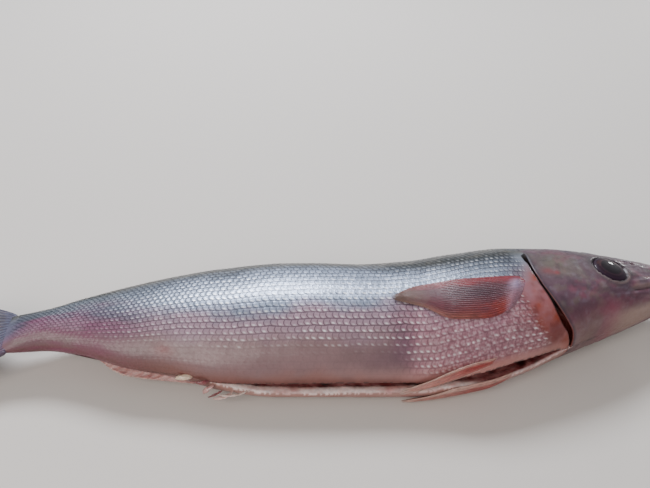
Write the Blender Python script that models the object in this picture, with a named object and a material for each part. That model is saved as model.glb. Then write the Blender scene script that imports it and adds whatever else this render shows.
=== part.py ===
"""Cleaned and gutted raw fish lying on its left flank.

+X points to the head, +Y to the back and +Z up.  Every size below is in millimetres and is
turned into metres where a vertex is placed.  The fish rests on the plane z = 0 with the
pressed-flat part of its left flank.
"""

import math

import bmesh
import bpy
from mathutils import Vector

MM = 0.001

# Sections of the body from the tail root to the snout:
# place along the fish, edge of the back, edge of the belly, height of the middle,
# thickness, how far the belly edge sags, and the exponent of the rounded outline.
BODY_SECTIONS = (
    (-183.0, 17.5, -8.5, 19.5, 6.0, 0.0, 2.1),
    (-176.0, 17.0, -7.5, 19.5, 13.0, 0.0, 2.1),
    (-165.0, 18.0, -6.5, 19.5, 17.5, 0.0, 2.1),
    (-145.0, 25.0, -11.5, 19.8, 20.5, 0.0, 2.1),
    (-120.0, 31.0, -22.0, 20.5, 27.0, 1.5, 2.1),
    (-95.0, 35.5, -28.5, 21.0, 33.0, 4.0, 2.1),
    (-70.0, 38.5, -36.5, 21.4, 38.0, 6.5, 2.1),
    (-45.0, 38.5, -40.0, 21.8, 42.0, 7.5, 2.15),
    (-15.0, 36.0, -42.5, 22.0, 44.5, 7.5, 2.15),
    (15.0, 32.0, -45.5, 22.0, 45.0, 7.5, 2.15),
    (40.0, 31.5, -48.5, 22.6, 46.5, 7.0, 2.15),
    (65.0, 33.0, -49.5, 23.8, 49.5, 6.0, 2.15),
    (90.0, 33.5, -44.5, 24.5, 51.0, 4.0, 2.2),
    (115.0, 29.5, -36.5, 24.5, 49.5, 1.0, 2.4),
    (140.0, 25.0, -28.5, 24.6, 43.0, 0.0, 2.7),
    (162.0, 20.5, -21.8, 24.2, 35.5, 0.0, 2.7),
    (184.0, 15.5, -14.0, 23.6, 27.0, 0.0, 2.6),
    (199.0, 11.0, -9.5, 23.0, 20.0, 0.0, 2.5),
    (208.0, 7.0, -6.0, 22.6, 13.0, 0.0, 2.4),
)
SNOUT_TIP = (211.0, 0.6, 22.4)
SECTION_POINTS = 44
RING_STEP = 8.0
UPPER_FULLNESS = 1.03
LOWER_FULLNESS = 1.10
SAG_POWER = 1.6

# Gut cavity: place, middle across, middle height, half width, half height.
CAVITY_SECTIONS = (
    (-74.0, -27.0, 15.0, 4.0, 3.0),
    (-58.0, -21.0, 17.0, 13.0, 7.5),
    (-30.0, -18.0, 19.5, 19.0, 12.0),
    (10.0, -19.0, 20.5, 21.0, 13.5),
    (55.0, -21.0, 21.0, 22.0, 14.0),
    (88.0, -18.0, 22.5, 19.0, 13.0),
    (108.0, -15.0, 23.5, 13.0, 10.0),
    (119.0, -13.0, 24.0, 7.0, 5.5),
)
CAVITY_POINTS = 24

# Slit along the belly: place, height of its middle and half of its gap.
SLIT_SECTIONS = (
    (-77.0, 15.0, 0.4),
    (-64.0, 13.8, 1.7),
    (-45.0, 13.0, 2.7),
    (0.0, 13.0, 2.9),
    (35.0, 13.8, 2.9),
    (62.0, 16.9, 2.9),
    (88.0, 20.7, 2.9),
    (105.0, 21.2, 2.5),
    (116.0, 20.4, 1.3),
    (121.0, 19.6, 0.4),
)
SLIT_STEPS = 20
SLIT_OUTSIDE_Y = -66.0
SLIT_INSIDE_Y = -24.0

# The lower flap stands out beyond the upper one: place and how far.  The lip fades out
# between two section angles.
FLAP_LIP = (
    (-90.0, 0.0),
    (-68.0, 1.6),
    (-45.0, 3.6),
    (0.0, 4.0),
    (40.0, 3.4),
    (66.0, 1.6),
    (96.0, 0.7),
    (118.0, 0.0),
)
LIP_FIRST_ANGLE = 183.0
LIP_LAST_ANGLE = 243.0
LIP_SKEW = 0.7
LIP_POWER = 1.5

# Rear edges of the gill covers: place, section angle and width of the gap.  The right one
# runs on into the belly slit.
GILL_EDGE = (
    (99.0, 69.0, 1.6),
    (101.5, 83.0, 1.2),
    (102.0, 95.0, 1.2),
    (103.5, 106.0, 1.3),
    (107.0, 121.0, 1.8),
    (110.5, 135.0, 2.6),
    (114.0, 150.0, 3.0),
    (117.0, 164.0, 2.6),
)
GILL_END = (119.5, 184.0, 1.4)
GILL_STEPS = 16
GILL_DEPTH = 11.0
GILL_FORWARD = 5.0
GILL_ABOVE = 3.0

# Eyes: place along, place across, radius, half height of the flattened ball, how far it bulges.
EYE_X = 151.5
EYE_Y = -1.0
EYE_RADIUS = 9.6
EYE_HALF_HEIGHT = 4.2
EYE_BULGE = 0.8
EYE_GAP = 0.35
EYE_SEGMENTS = 28
EYE_RINGS = 14

# Pectoral fins: both edges as places on the flank (x, y), from the root to the tip.
PECTORAL_LEADING = ((89.0, -14.0), (70.0, -10.0), (52.0, -8.8), (35.0, -10.0), (19.5, -12.8))
PECTORAL_TRAILING = ((79.0, -25.5), (67.0, -30.0), (53.0, -30.5), (37.0, -24.0), (19.0, -14.8))
PECTORAL_LIFT = 0.5
PECTORAL_THICKNESS = 1.3
PECTORAL_STEPS = 10
PECTORAL_ACROSS = 5
PRESSED_FIN_BASE = 0.3
PRESSED_FIN_ACROSS = 4
PRESSED_FIN_POCKET = 0.4
POCKET_LOW = -2.0
POCKET_GAP_ABOVE = 0.35

# Pelvic fins, from the root to the tip: place of the upper edge, its section angle, place of
# the lower edge, its section angle, and the gap to the skin.
RIGHT_PELVIC = (
    (74.0, 154.0, 69.0, 163.0, 0.5),
    (60.0, 161.0, 56.0, 175.0, 0.7),
    (46.0, 170.0, 44.0, 185.0, 1.0),
    (33.0, 180.0, 32.0, 191.0, 1.2),
    (21.0, 189.0, 21.0, 193.0, 1.4),
)
LEFT_PELVIC = (
    (78.0, 194.0, 75.0, 207.0, 0.5),
    (64.0, 195.0, 62.0, 212.0, 0.9),
    (50.0, 197.0, 48.0, 213.0, 1.6),
    (37.0, 200.0, 36.0, 210.0, 2.4),
    (24.0, 204.0, 24.0, 207.0, 3.2),
)
PELVIC_THICKNESS = 1.5
PELVIC_STEPS = 10
PELVIC_ACROSS = 4

# Shares of a fin's thickness that are left at its long edges and lost towards its tip.
FIN_EDGE_SHARE = 0.45
FIN_TAPER = 0.45

# Fins on the body's own edges: first place, last place and height.  The low share is their
# height at both ends, and the skew moves the highest place.
EDGE_FIN_STEPS = 12
EDGE_FIN_TIP_SHARE = 0.5
DORSAL_LOW = 0.8
DORSAL_SKEW = 1.5
DORSAL_LIFT = 0.35
DORSAL_THICKNESS = 2.0
FIRST_DORSAL = (-2.0, 86.0, 4.6)
SECOND_DORSAL = (-98.0, -12.0, 4.2)
ANAL_LOW = 0.6
ANAL_SKEW = 0.55
ANAL_LIFT = 0.35
ANAL_THICKNESS = 1.4
ANAL_SPAN = (-135.0, -84.0)
ANAL_HEIGHT = 3.4
ANAL_ANGLE = 207.0

# Tail fin: how far it reaches back, the depth of its fork and where its two tips end.
CAUDAL_STEPS = 8
CAUDAL_ACROSS = 10
CAUDAL_FLARE = 0.9
CAUDAL_ROOT_GAP = 0.35
CAUDAL_LENGTH = 42.0
CAUDAL_FORK = 13.0
CAUDAL_TOP = 41.0
CAUDAL_BOTTOM = -33.0
CAUDAL_ROOT_THICKNESS = 3.6
CAUDAL_EDGE_THICKNESS = 1.2
CAUDAL_DROOP = 4.0


def clear_scene():
    """Remove the objects of the starting scene."""
    for item in list(bpy.data.objects):
        bpy.data.objects.remove(item, do_unlink=True)


def material(name, colour, roughness):
    """Make one Principled material."""
    made = bpy.data.materials.new(name)
    made.use_nodes = True
    shader = made.node_tree.nodes["Principled BSDF"]
    shader.inputs["Base Color"].default_value = (*colour, 1.0)
    shader.inputs["Roughness"].default_value = roughness
    shader.inputs["Metallic"].default_value = 0.0
    return made


def read_table(table, place):
    """Smoothly interpolate the rows of a table at a place along its first column."""
    places = [row[0] for row in table]
    place = min(max(place, places[0]), places[-1])
    low = 0
    while low < len(table) - 2 and place > places[low + 1]:
        low += 1
    width = places[low + 1] - places[low]
    t = (place - places[low]) / width
    values = []
    for column in range(1, len(table[0])):
        start = table[low][column]
        end = table[low + 1][column]
        slope_start = limited_slope(table, low, column) * width
        slope_end = limited_slope(table, low + 1, column) * width
        values.append(
            (2 * t**3 - 3 * t**2 + 1) * start
            + (t**3 - 2 * t**2 + t) * slope_start
            + (3 * t**2 - 2 * t**3) * end
            + (t**3 - t**2) * slope_end
        )
    return values


def limited_slope(table, row, column):
    """Slope of a table column at one row, flat at its peaks so that it never overshoots."""
    if row == 0 or row == len(table) - 1:
        inner = 1 if row == 0 else row - 1
        return (table[inner][column] - table[row][column]) / (table[inner][0] - table[row][0])
    before = (table[row][column] - table[row - 1][column]) / (table[row][0] - table[row - 1][0])
    after = (table[row + 1][column] - table[row][column]) / (table[row + 1][0] - table[row][0])
    if before * after <= 0.0:
        return 0.0
    return 2.0 * before * after / (before + after)


def rounded(value, exponent):
    """Sine or cosine value bent towards a squarer outline."""
    return math.copysign(abs(value) ** (2.0 / exponent), value)


def skin_point(x, degrees):
    """Point of the body's skin: 0 degrees is the back edge, 90 the right flank on top."""
    back, belly, middle, thickness, sag, exponent = read_table(BODY_SECTIONS, x)
    cosine = rounded(math.cos(math.radians(degrees)), exponent)
    sine = rounded(math.sin(math.radians(degrees)), exponent)
    fullness = UPPER_FULLNESS if sine > 0.0 else LOWER_FULLNESS
    y = (back + belly) / 2 + (back - belly) / 2 * cosine
    z = middle + thickness / 2 * fullness * sine - sag * max(0.0, -cosine) ** SAG_POWER
    share = (degrees % 360.0 - LIP_FIRST_ANGLE) / (LIP_LAST_ANGLE - LIP_FIRST_ANGLE)
    if 0.0 < share < 1.0:
        y -= read_table(FLAP_LIP, x)[0] * math.sin(math.pi * share**LIP_SKEW) ** LIP_POWER
    return Vector((x, y, max(z, 0.0)))


def skin_normal(x, degrees):
    """Outward direction of the skin at a section angle."""
    around = skin_point(x, degrees + 2.0) - skin_point(x, degrees - 2.0)
    along = skin_point(x + 1.0, degrees) - skin_point(x - 1.0, degrees)
    return around.cross(along).normalized()


def flank_angle(x, y):
    """Section angle of the upper flank at a distance across."""
    low = 0.0
    high = 180.0
    for _ in range(30):
        middle = (low + high) / 2
        if skin_point(x, middle).y > y:
            low = middle
        else:
            high = middle
    return (low + high) / 2


def edge_point(edge, share):
    """Point at a share of the way along a chain of flank places, by smooth steps."""
    last = len(edge) - 1
    table = [(index / last, *place) for index, place in enumerate(edge)]
    return read_table(table, share)


def new_object(name, mesh_builder, look):
    """Turn a bmesh into a named object shaded smooth."""
    bmesh.ops.recalc_face_normals(mesh_builder, faces=mesh_builder.faces)
    mesh = bpy.data.meshes.new(name)
    mesh_builder.to_mesh(mesh)
    mesh_builder.free()
    made = bpy.data.objects.new(name, mesh)
    bpy.context.scene.collection.objects.link(made)
    if look is not None:
        mesh.materials.append(look)
    mesh.shade_smooth()
    return made


def loft(sections, end_point=None):
    """Closed body through a list of loops with equal numbers of points, in millimetres.

    The first loop is drawn, then extruded and shaped to each next section.  Both ends are
    capped, and the last cap is drawn out to end_point where one is given.
    """
    builder = bmesh.new()
    count = len(sections[0])
    ring = bmesh.ops.create_circle(builder, cap_ends=False, segments=count, radius=1.0)["verts"]
    for vertex, point in zip(ring, sections[0]):
        vertex.co = Vector(point) * MM
    bmesh.ops.contextual_create(builder, geom=loop_edges(ring))
    for section in sections[1:]:
        grown = bmesh.ops.extrude_edge_only(builder, edges=loop_edges(ring))["geom"]
        new_verts = {item for item in grown if isinstance(item, bmesh.types.BMVert)}
        ring = [matching_vertex(vertex, new_verts) for vertex in ring]
        for vertex, point in zip(ring, section):
            vertex.co = Vector(point) * MM
    cap = bmesh.ops.contextual_create(builder, geom=loop_edges(ring))["faces"]
    if end_point is not None:
        centre = bmesh.ops.poke(builder, faces=cap)["verts"][0]
        centre.co = Vector(end_point) * MM
    return builder


def loop_edges(ring):
    """Edges between neighbouring vertices of a closed loop."""
    edges = []
    for index, vertex in enumerate(ring):
        following = ring[(index + 1) % len(ring)]
        edges.extend(edge for edge in vertex.link_edges if edge.other_vert(vertex) is following)
    return edges


def matching_vertex(vertex, new_verts):
    """Vertex that was extruded out of an older one."""
    for edge in vertex.link_edges:
        other = edge.other_vert(vertex)
        if other in new_verts:
            return other
    return vertex


def oval(x, y, z, half_width, half_height, count):
    """Upright oval loop across the fish."""
    turns = [2 * math.pi * index / count for index in range(count)]
    return [(x, y + half_width * math.cos(t), z + half_height * math.sin(t)) for t in turns]


def blade_loop(upper, lower):
    """Thin closed loop: out along the upper points and back along the lower ones."""
    return list(upper) + list(reversed(lower))


def cut(target, cutter):
    """Cut one object out of another and hide the cutter."""
    cutter.hide_render = True
    cutter.display_type = "WIRE"
    modifier = target.modifiers.new(cutter.name, "BOOLEAN")
    modifier.operation = "DIFFERENCE"
    modifier.solver = "EXACT"
    modifier.object = cutter


def build_body(look):
    """Head, trunk and tail stalk in one skin."""
    first = BODY_SECTIONS[0][0]
    last = BODY_SECTIONS[-1][0]
    steps = round((last - first) / RING_STEP)
    places = [first + (last - first) * index / steps for index in range(steps + 1)]
    angles = [360.0 * index / SECTION_POINTS for index in range(SECTION_POINTS)]
    rings = [[skin_point(x, angle) for angle in angles] for x in places]
    return new_object("body", loft(rings, SNOUT_TIP), look)


def cavity_cutter():
    """Gut cavity from the vent to the throat."""
    rings = [oval(*row, CAVITY_POINTS) for row in CAVITY_SECTIONS]
    return new_object("cavity_cutter", loft(rings), None)


def slit_cutter():
    """Gap between the two belly flaps."""
    first = SLIT_SECTIONS[0][0]
    last = SLIT_SECTIONS[-1][0]
    rings = []
    for index in range(SLIT_STEPS + 1):
        x = first + (last - first) * index / SLIT_STEPS
        height, half_gap = read_table(SLIT_SECTIONS, x)
        rings.append(
            (
                (x, SLIT_OUTSIDE_Y, height - half_gap),
                (x, SLIT_INSIDE_Y, height - half_gap),
                (x, SLIT_INSIDE_Y, height + half_gap),
                (x, SLIT_OUTSIDE_Y, height + half_gap),
            )
        )
    return new_object("slit_cutter", loft(rings), None)


def gill_cutter(name, edge, side):
    """Slot under the rear edge of a gill cover, leaning forward as it goes in."""
    rings = []
    for index in range(GILL_STEPS + 1):
        x, angle, width = edge_point(edge, index / GILL_STEPS)
        skin = skin_point(x, side * angle)
        outward = skin_normal(x, side * angle)
        outer = skin + outward * GILL_ABOVE
        inner = skin - outward * GILL_DEPTH + Vector((GILL_FORWARD, 0.0, 0.0))
        half = Vector((width / 2, 0.0, 0.0))
        rings.append((outer - half, outer + half, inner + half, inner - half))
    return new_object(name, loft(rings), None)


def eye_places():
    """Centre of the right and of the left eye."""
    angle = flank_angle(EYE_X, EYE_Y)
    drop = Vector((0.0, 0.0, EYE_HALF_HEIGHT - EYE_BULGE))
    right = skin_point(EYE_X, angle) - drop
    left = skin_point(EYE_X, -angle) + drop
    return {"right": right, "left": left}


def eyeball(name, centre, radius, half_height, look):
    """Flattened ball of an eye."""
    bpy.ops.mesh.primitive_uv_sphere_add(
        segments=EYE_SEGMENTS, ring_count=EYE_RINGS, radius=radius * MM, location=centre * MM
    )
    ball = bpy.context.object
    ball.name = name
    ball.data.name = name
    ball.scale = (1.0, 1.0, half_height / radius)
    bpy.ops.object.transform_apply(location=False, rotation=False, scale=True)
    ball.data.shade_smooth()
    if look is not None:
        ball.data.materials.append(look)
    return ball


def build_eyes(body, look):
    """Both eyes in their sockets."""
    for side, centre in eye_places().items():
        eyeball(f"{side}_eye", centre, EYE_RADIUS, EYE_HALF_HEIGHT, look)
        socket = eyeball(
            f"{side}_socket_cutter",
            centre,
            EYE_RADIUS + EYE_GAP,
            EYE_HALF_HEIGHT + EYE_GAP,
            None,
        )
        cut(body, socket)


def pectoral_ring(share, thickness):
    """Cross-section of the right pectoral fin at a share of its length."""
    lead = Vector((*edge_point(PECTORAL_LEADING, share), 0.0))
    trail = Vector((*edge_point(PECTORAL_TRAILING, share), 0.0))
    upper = []
    lower = []
    for index in range(PECTORAL_ACROSS + 1):
        place = lead.lerp(trail, index / PECTORAL_ACROSS)
        crown = math.sin(math.pi * index / PECTORAL_ACROSS)
        angle = flank_angle(place.x, place.y)
        skin = skin_point(place.x, angle)
        outward = skin_normal(place.x, angle)
        lower.append(skin + outward * PECTORAL_LIFT)
        rounded_off = FIN_EDGE_SHARE + (1.0 - FIN_EDGE_SHARE) * crown
        upper.append(skin + outward * (PECTORAL_LIFT + thickness * rounded_off))
    return blade_loop(upper, lower)


def build_right_pectoral(look):
    """Right pectoral fin folded back along the upper flank."""
    rings = []
    for index in range(PECTORAL_STEPS + 1):
        share = index / PECTORAL_STEPS
        rings.append(pectoral_ring(share, PECTORAL_THICKNESS * (1.0 - FIN_TAPER * share)))
    return new_object("right_pectoral_fin", loft(rings), look)


def pressed_blade(name, low, high, margin, look):
    """Flat copy of the pectoral outline between two heights, wider by a margin all round."""
    rings = []
    for index in range(PECTORAL_STEPS + 1):
        share = index / PECTORAL_STEPS
        lead = Vector((*edge_point(PECTORAL_LEADING, share), 0.0))
        trail = Vector((*edge_point(PECTORAL_TRAILING, share), 0.0))
        spread = (trail - lead).normalized() * margin
        lengthen = Vector((margin * (1.0 - 2.0 * share), 0.0, 0.0))
        lead += lengthen - spread
        trail += lengthen + spread
        places = [lead.lerp(trail, step / PRESSED_FIN_ACROSS) for step in range(PRESSED_FIN_ACROSS + 1)]
        upper = [place + Vector((0.0, 0.0, high)) for place in places]
        lower = [place + Vector((0.0, 0.0, low)) for place in places]
        rings.append(blade_loop(upper, lower))
    return new_object(name, loft(rings), look)


def build_left_pectoral(body, look):
    """Left pectoral fin pressed flat into the underside."""
    high = PRESSED_FIN_BASE + PECTORAL_THICKNESS
    pressed_blade("left_pectoral_fin", PRESSED_FIN_BASE, high, 0.0, look)
    top = high + POCKET_GAP_ABOVE
    pocket = pressed_blade("left_pectoral_pocket", POCKET_LOW, top, PRESSED_FIN_POCKET, None)
    cut(body, pocket)


def pelvic_ring(row, thickness):
    """Cross-section of a pelvic fin from one row of its table."""
    upper_x, upper_angle, lower_x, lower_angle, gap = row
    upper = []
    lower = []
    for index in range(PELVIC_ACROSS + 1):
        share = index / PELVIC_ACROSS
        x = upper_x + (lower_x - upper_x) * share
        angle = upper_angle + (lower_angle - upper_angle) * share
        skin = skin_point(x, angle)
        outward = skin_normal(x, angle)
        crown = FIN_EDGE_SHARE + (1.0 - FIN_EDGE_SHARE) * math.sin(math.pi * share)
        lower.append(skin + outward * gap)
        upper.append(skin + outward * (gap + thickness * crown))
    return blade_loop(upper, lower)


def build_pelvic_fins(look):
    """Right pelvic fin hanging over the slit and left one folded along the lower flap."""
    for name, table in (("right_pelvic_fin", RIGHT_PELVIC), ("left_pelvic_fin", LEFT_PELVIC)):
        rings = []
        for index in range(PELVIC_STEPS + 1):
            share = index / PELVIC_STEPS
            thickness = PELVIC_THICKNESS * (1.0 - FIN_TAPER * share)
            rings.append(pelvic_ring(edge_point(table, share), thickness))
        new_object(name, loft(rings), look)


def edge_fin(name, first_x, last_x, degrees, height_at, lift, thickness, look):
    """Fin standing on the body's edge at one section angle, from one place to another."""
    rings = []
    for index in range(EDGE_FIN_STEPS + 1):
        x = first_x + (last_x - first_x) * index / EDGE_FIN_STEPS
        root = skin_point(x, degrees)
        outward = skin_normal(x, degrees)
        side = outward.cross(Vector((1.0, 0.0, 0.0))).normalized()
        height = height_at(index / EDGE_FIN_STEPS)
        half = side * thickness / 2
        thin = half * EDGE_FIN_TIP_SHARE
        low = root + outward * lift
        high = root + outward * (lift + height)
        rings.append((low - half, low + half, high + thin, high - thin))
    return new_object(name, loft(rings), look)


def build_dorsal_fins(look):
    """Both dorsal fins folded down on the back, highest in their front half."""
    for name, (first_x, last_x, top) in (
        ("second_dorsal_fin", SECOND_DORSAL),
        ("first_dorsal_fin", FIRST_DORSAL),
    ):

        def height_at(share, top=top):
            return DORSAL_LOW + top * math.sin(math.pi * share**DORSAL_SKEW)

        edge_fin(name, first_x, last_x, 0.0, height_at, DORSAL_LIFT, DORSAL_THICKNESS, look)


def build_anal_fin(look):
    """Anal fin folded back along the rear belly edge, highest near its free rear tip."""

    def height_at(share):
        return ANAL_LOW + ANAL_HEIGHT * math.sin(math.pi * share**ANAL_SKEW)

    edge_fin("anal_fin", *ANAL_SPAN, ANAL_ANGLE, height_at, ANAL_LIFT, ANAL_THICKNESS, look)


def build_caudal_fin(look):
    """Forked tail fin, half closed and drooping a little."""
    root_x = BODY_SECTIONS[0][0] - CAUDAL_ROOT_GAP
    back, belly, middle = read_table(BODY_SECTIONS, BODY_SECTIONS[0][0])[:3]
    taper = CAUDAL_EDGE_THICKNESS - CAUDAL_ROOT_THICKNESS
    rings = []
    for index in range(CAUDAL_STEPS + 1):
        share = index / CAUDAL_STEPS
        spread = share**CAUDAL_FLARE
        top = back + (CAUDAL_TOP - back) * spread
        bottom = belly + (CAUDAL_BOTTOM - belly) * spread
        half = (CAUDAL_ROOT_THICKNESS + taper * share) / 2
        upper = []
        lower = []
        for step in range(CAUDAL_ACROSS + 1):
            side = step / CAUDAL_ACROSS
            notch = CAUDAL_FORK * share * math.sin(math.pi * side)
            x = root_x - CAUDAL_LENGTH * share + notch
            y = top + (bottom - top) * side
            z = middle - CAUDAL_DROOP * share**2
            crown = FIN_EDGE_SHARE + (1.0 - FIN_EDGE_SHARE) * math.sin(math.pi * side)
            edge = half * crown
            upper.append((x, y, z + edge))
            lower.append((x, y, z - edge))
        rings.append(blade_loop(upper, lower))
    return new_object("caudal_fin", loft(rings), look)


def main():
    """Build the fish."""
    clear_scene()
    skin = material("fish_skin", (0.42, 0.40, 0.43), 0.3)
    fin = material("fin_membrane", (0.34, 0.12, 0.10), 0.35)
    pale_fin = material("pale_fin", (0.55, 0.38, 0.34), 0.35)
    eye = material("eye", (0.03, 0.02, 0.02), 0.1)
    body = build_body(skin)
    cut(body, cavity_cutter())
    cut(body, slit_cutter())
    cut(body, gill_cutter("right_gill_cutter", (*GILL_EDGE, GILL_END), 1.0))
    cut(body, gill_cutter("left_gill_cutter", GILL_EDGE, -1.0))
    build_eyes(body, eye)
    build_right_pectoral(fin)
    build_left_pectoral(body, fin)
    build_pelvic_fins(pale_fin)
    build_dorsal_fins(pale_fin)
    build_anal_fin(pale_fin)
    build_caudal_fin(pale_fin)


main()
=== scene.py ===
"""Looks of a cleaned and gutted raw fish that lies on its left flank.

The frame is +X to the head, +Y to the back, +Z up.  Sizes of the fish are in millimetres and
are turned into metres where a mesh is placed.
"""

import logging
import math
from dataclasses import dataclass
from enum import Enum
from typing import Sequence

import bpy
import numpy as np
from mathutils import Matrix, Vector


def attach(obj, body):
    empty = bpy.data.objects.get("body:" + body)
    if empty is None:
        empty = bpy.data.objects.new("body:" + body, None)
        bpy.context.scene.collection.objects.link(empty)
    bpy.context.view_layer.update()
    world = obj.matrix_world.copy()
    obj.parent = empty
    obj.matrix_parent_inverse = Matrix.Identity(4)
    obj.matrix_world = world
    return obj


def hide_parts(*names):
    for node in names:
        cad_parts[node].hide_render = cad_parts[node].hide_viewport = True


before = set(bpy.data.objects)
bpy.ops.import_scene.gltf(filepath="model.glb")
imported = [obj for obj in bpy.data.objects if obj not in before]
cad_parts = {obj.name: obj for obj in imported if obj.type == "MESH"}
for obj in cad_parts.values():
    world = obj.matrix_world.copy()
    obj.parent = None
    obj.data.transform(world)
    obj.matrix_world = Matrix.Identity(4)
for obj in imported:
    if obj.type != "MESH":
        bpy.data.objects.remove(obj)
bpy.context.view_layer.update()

log = logging.getLogger("fish")

MM = 0.001
ROOT = "root"
Place = tuple[float, float, float]
Span = tuple[float, float]
Table = Sequence[tuple[float, ...]]
Array = np.ndarray
Piece = bpy.types.Object
Material = bpy.types.Material
Tree = bpy.types.NodeTree
Node = bpy.types.Node
Socket = bpy.types.NodeSocket


# ---------------------------------------------------------------- numbers and tables


def smooth_columns(table: Table, places: Array) -> list[Array]:
    """Interpolate each column of a table without overshooting.

    Args:
        table: rows whose first number is the place and whose others are values.
        places: where to read the table.

    Returns:
        One array of values for each column after the first.
    """
    rows = np.array(table, dtype=float)
    knots = rows[:, 0]
    places = np.clip(places, knots[0], knots[-1])
    low = np.clip(np.searchsorted(knots, places, side="right") - 1, 0, len(knots) - 2)
    width = knots[low + 1] - knots[low]
    t = (places - knots[low]) / width
    columns = []
    for column in range(1, rows.shape[1]):
        values = rows[:, column]
        steps = np.diff(values) / np.diff(knots)
        slopes = np.zeros(len(knots))
        slopes[0] = steps[0]
        slopes[-1] = steps[-1]
        rising = steps[:-1] * steps[1:] > 0.0
        total = np.where(rising, steps[:-1] + steps[1:], 1.0)
        slopes[1:-1] = np.where(rising, 2.0 * steps[:-1] * steps[1:] / total, 0.0)
        columns.append(
            (2 * t**3 - 3 * t**2 + 1) * values[low]
            + (t**3 - 2 * t**2 + t) * slopes[low] * width
            + (3 * t**2 - 2 * t**3) * values[low + 1]
            + (t**3 - t**2) * slopes[low + 1] * width
        )
    return columns


def rise(values: Array, low: float, high: float) -> Array:
    """Smooth step from 0 at low to 1 at high."""
    t = np.clip((values - low) / (high - low), 0.0, 1.0)
    return t * t * (3.0 - 2.0 * t)


def wobble(values: Array, seed: float) -> Array:
    """Slow uneven wave between about -1 and 1, for hand-cut and grown edges."""
    return (
        np.sin(values * 1.0 + seed)
        + 0.6 * np.sin(values * 2.3 + seed * 1.7)
        + 0.4 * np.sin(values * 4.9 + seed * 2.9)
        + 0.25 * np.sin(values * 11.3 + seed * 0.7)
    ) / 2.0


def hump(distance: Array, width: float) -> Array:
    """Smooth rounded ridge, 1 at a distance of 0 and almost 0 past two widths."""
    return np.exp(-((distance / width) ** 2))


def linear(code: str) -> Array:
    """Turn an sRGB hex colour into linear red, green and blue."""
    parts = np.array([int(code[i : i + 2], 16) / 255.0 for i in (1, 3, 5)])
    return np.where(parts <= 0.04045, parts / 12.92, ((parts + 0.055) / 1.055) ** 2.4)


def linear_rgba(code: str) -> tuple[float, float, float, float]:
    """Turn an sRGB hex colour into a linear colour socket value."""
    red, green, blue = linear(code)
    return (float(red), float(green), float(blue), 1.0)


# ---------------------------------------------------------------- the fish's form


class Axis(Enum):
    """Axis of a point of the skin."""

    ACROSS = 1
    UP = 2


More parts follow.
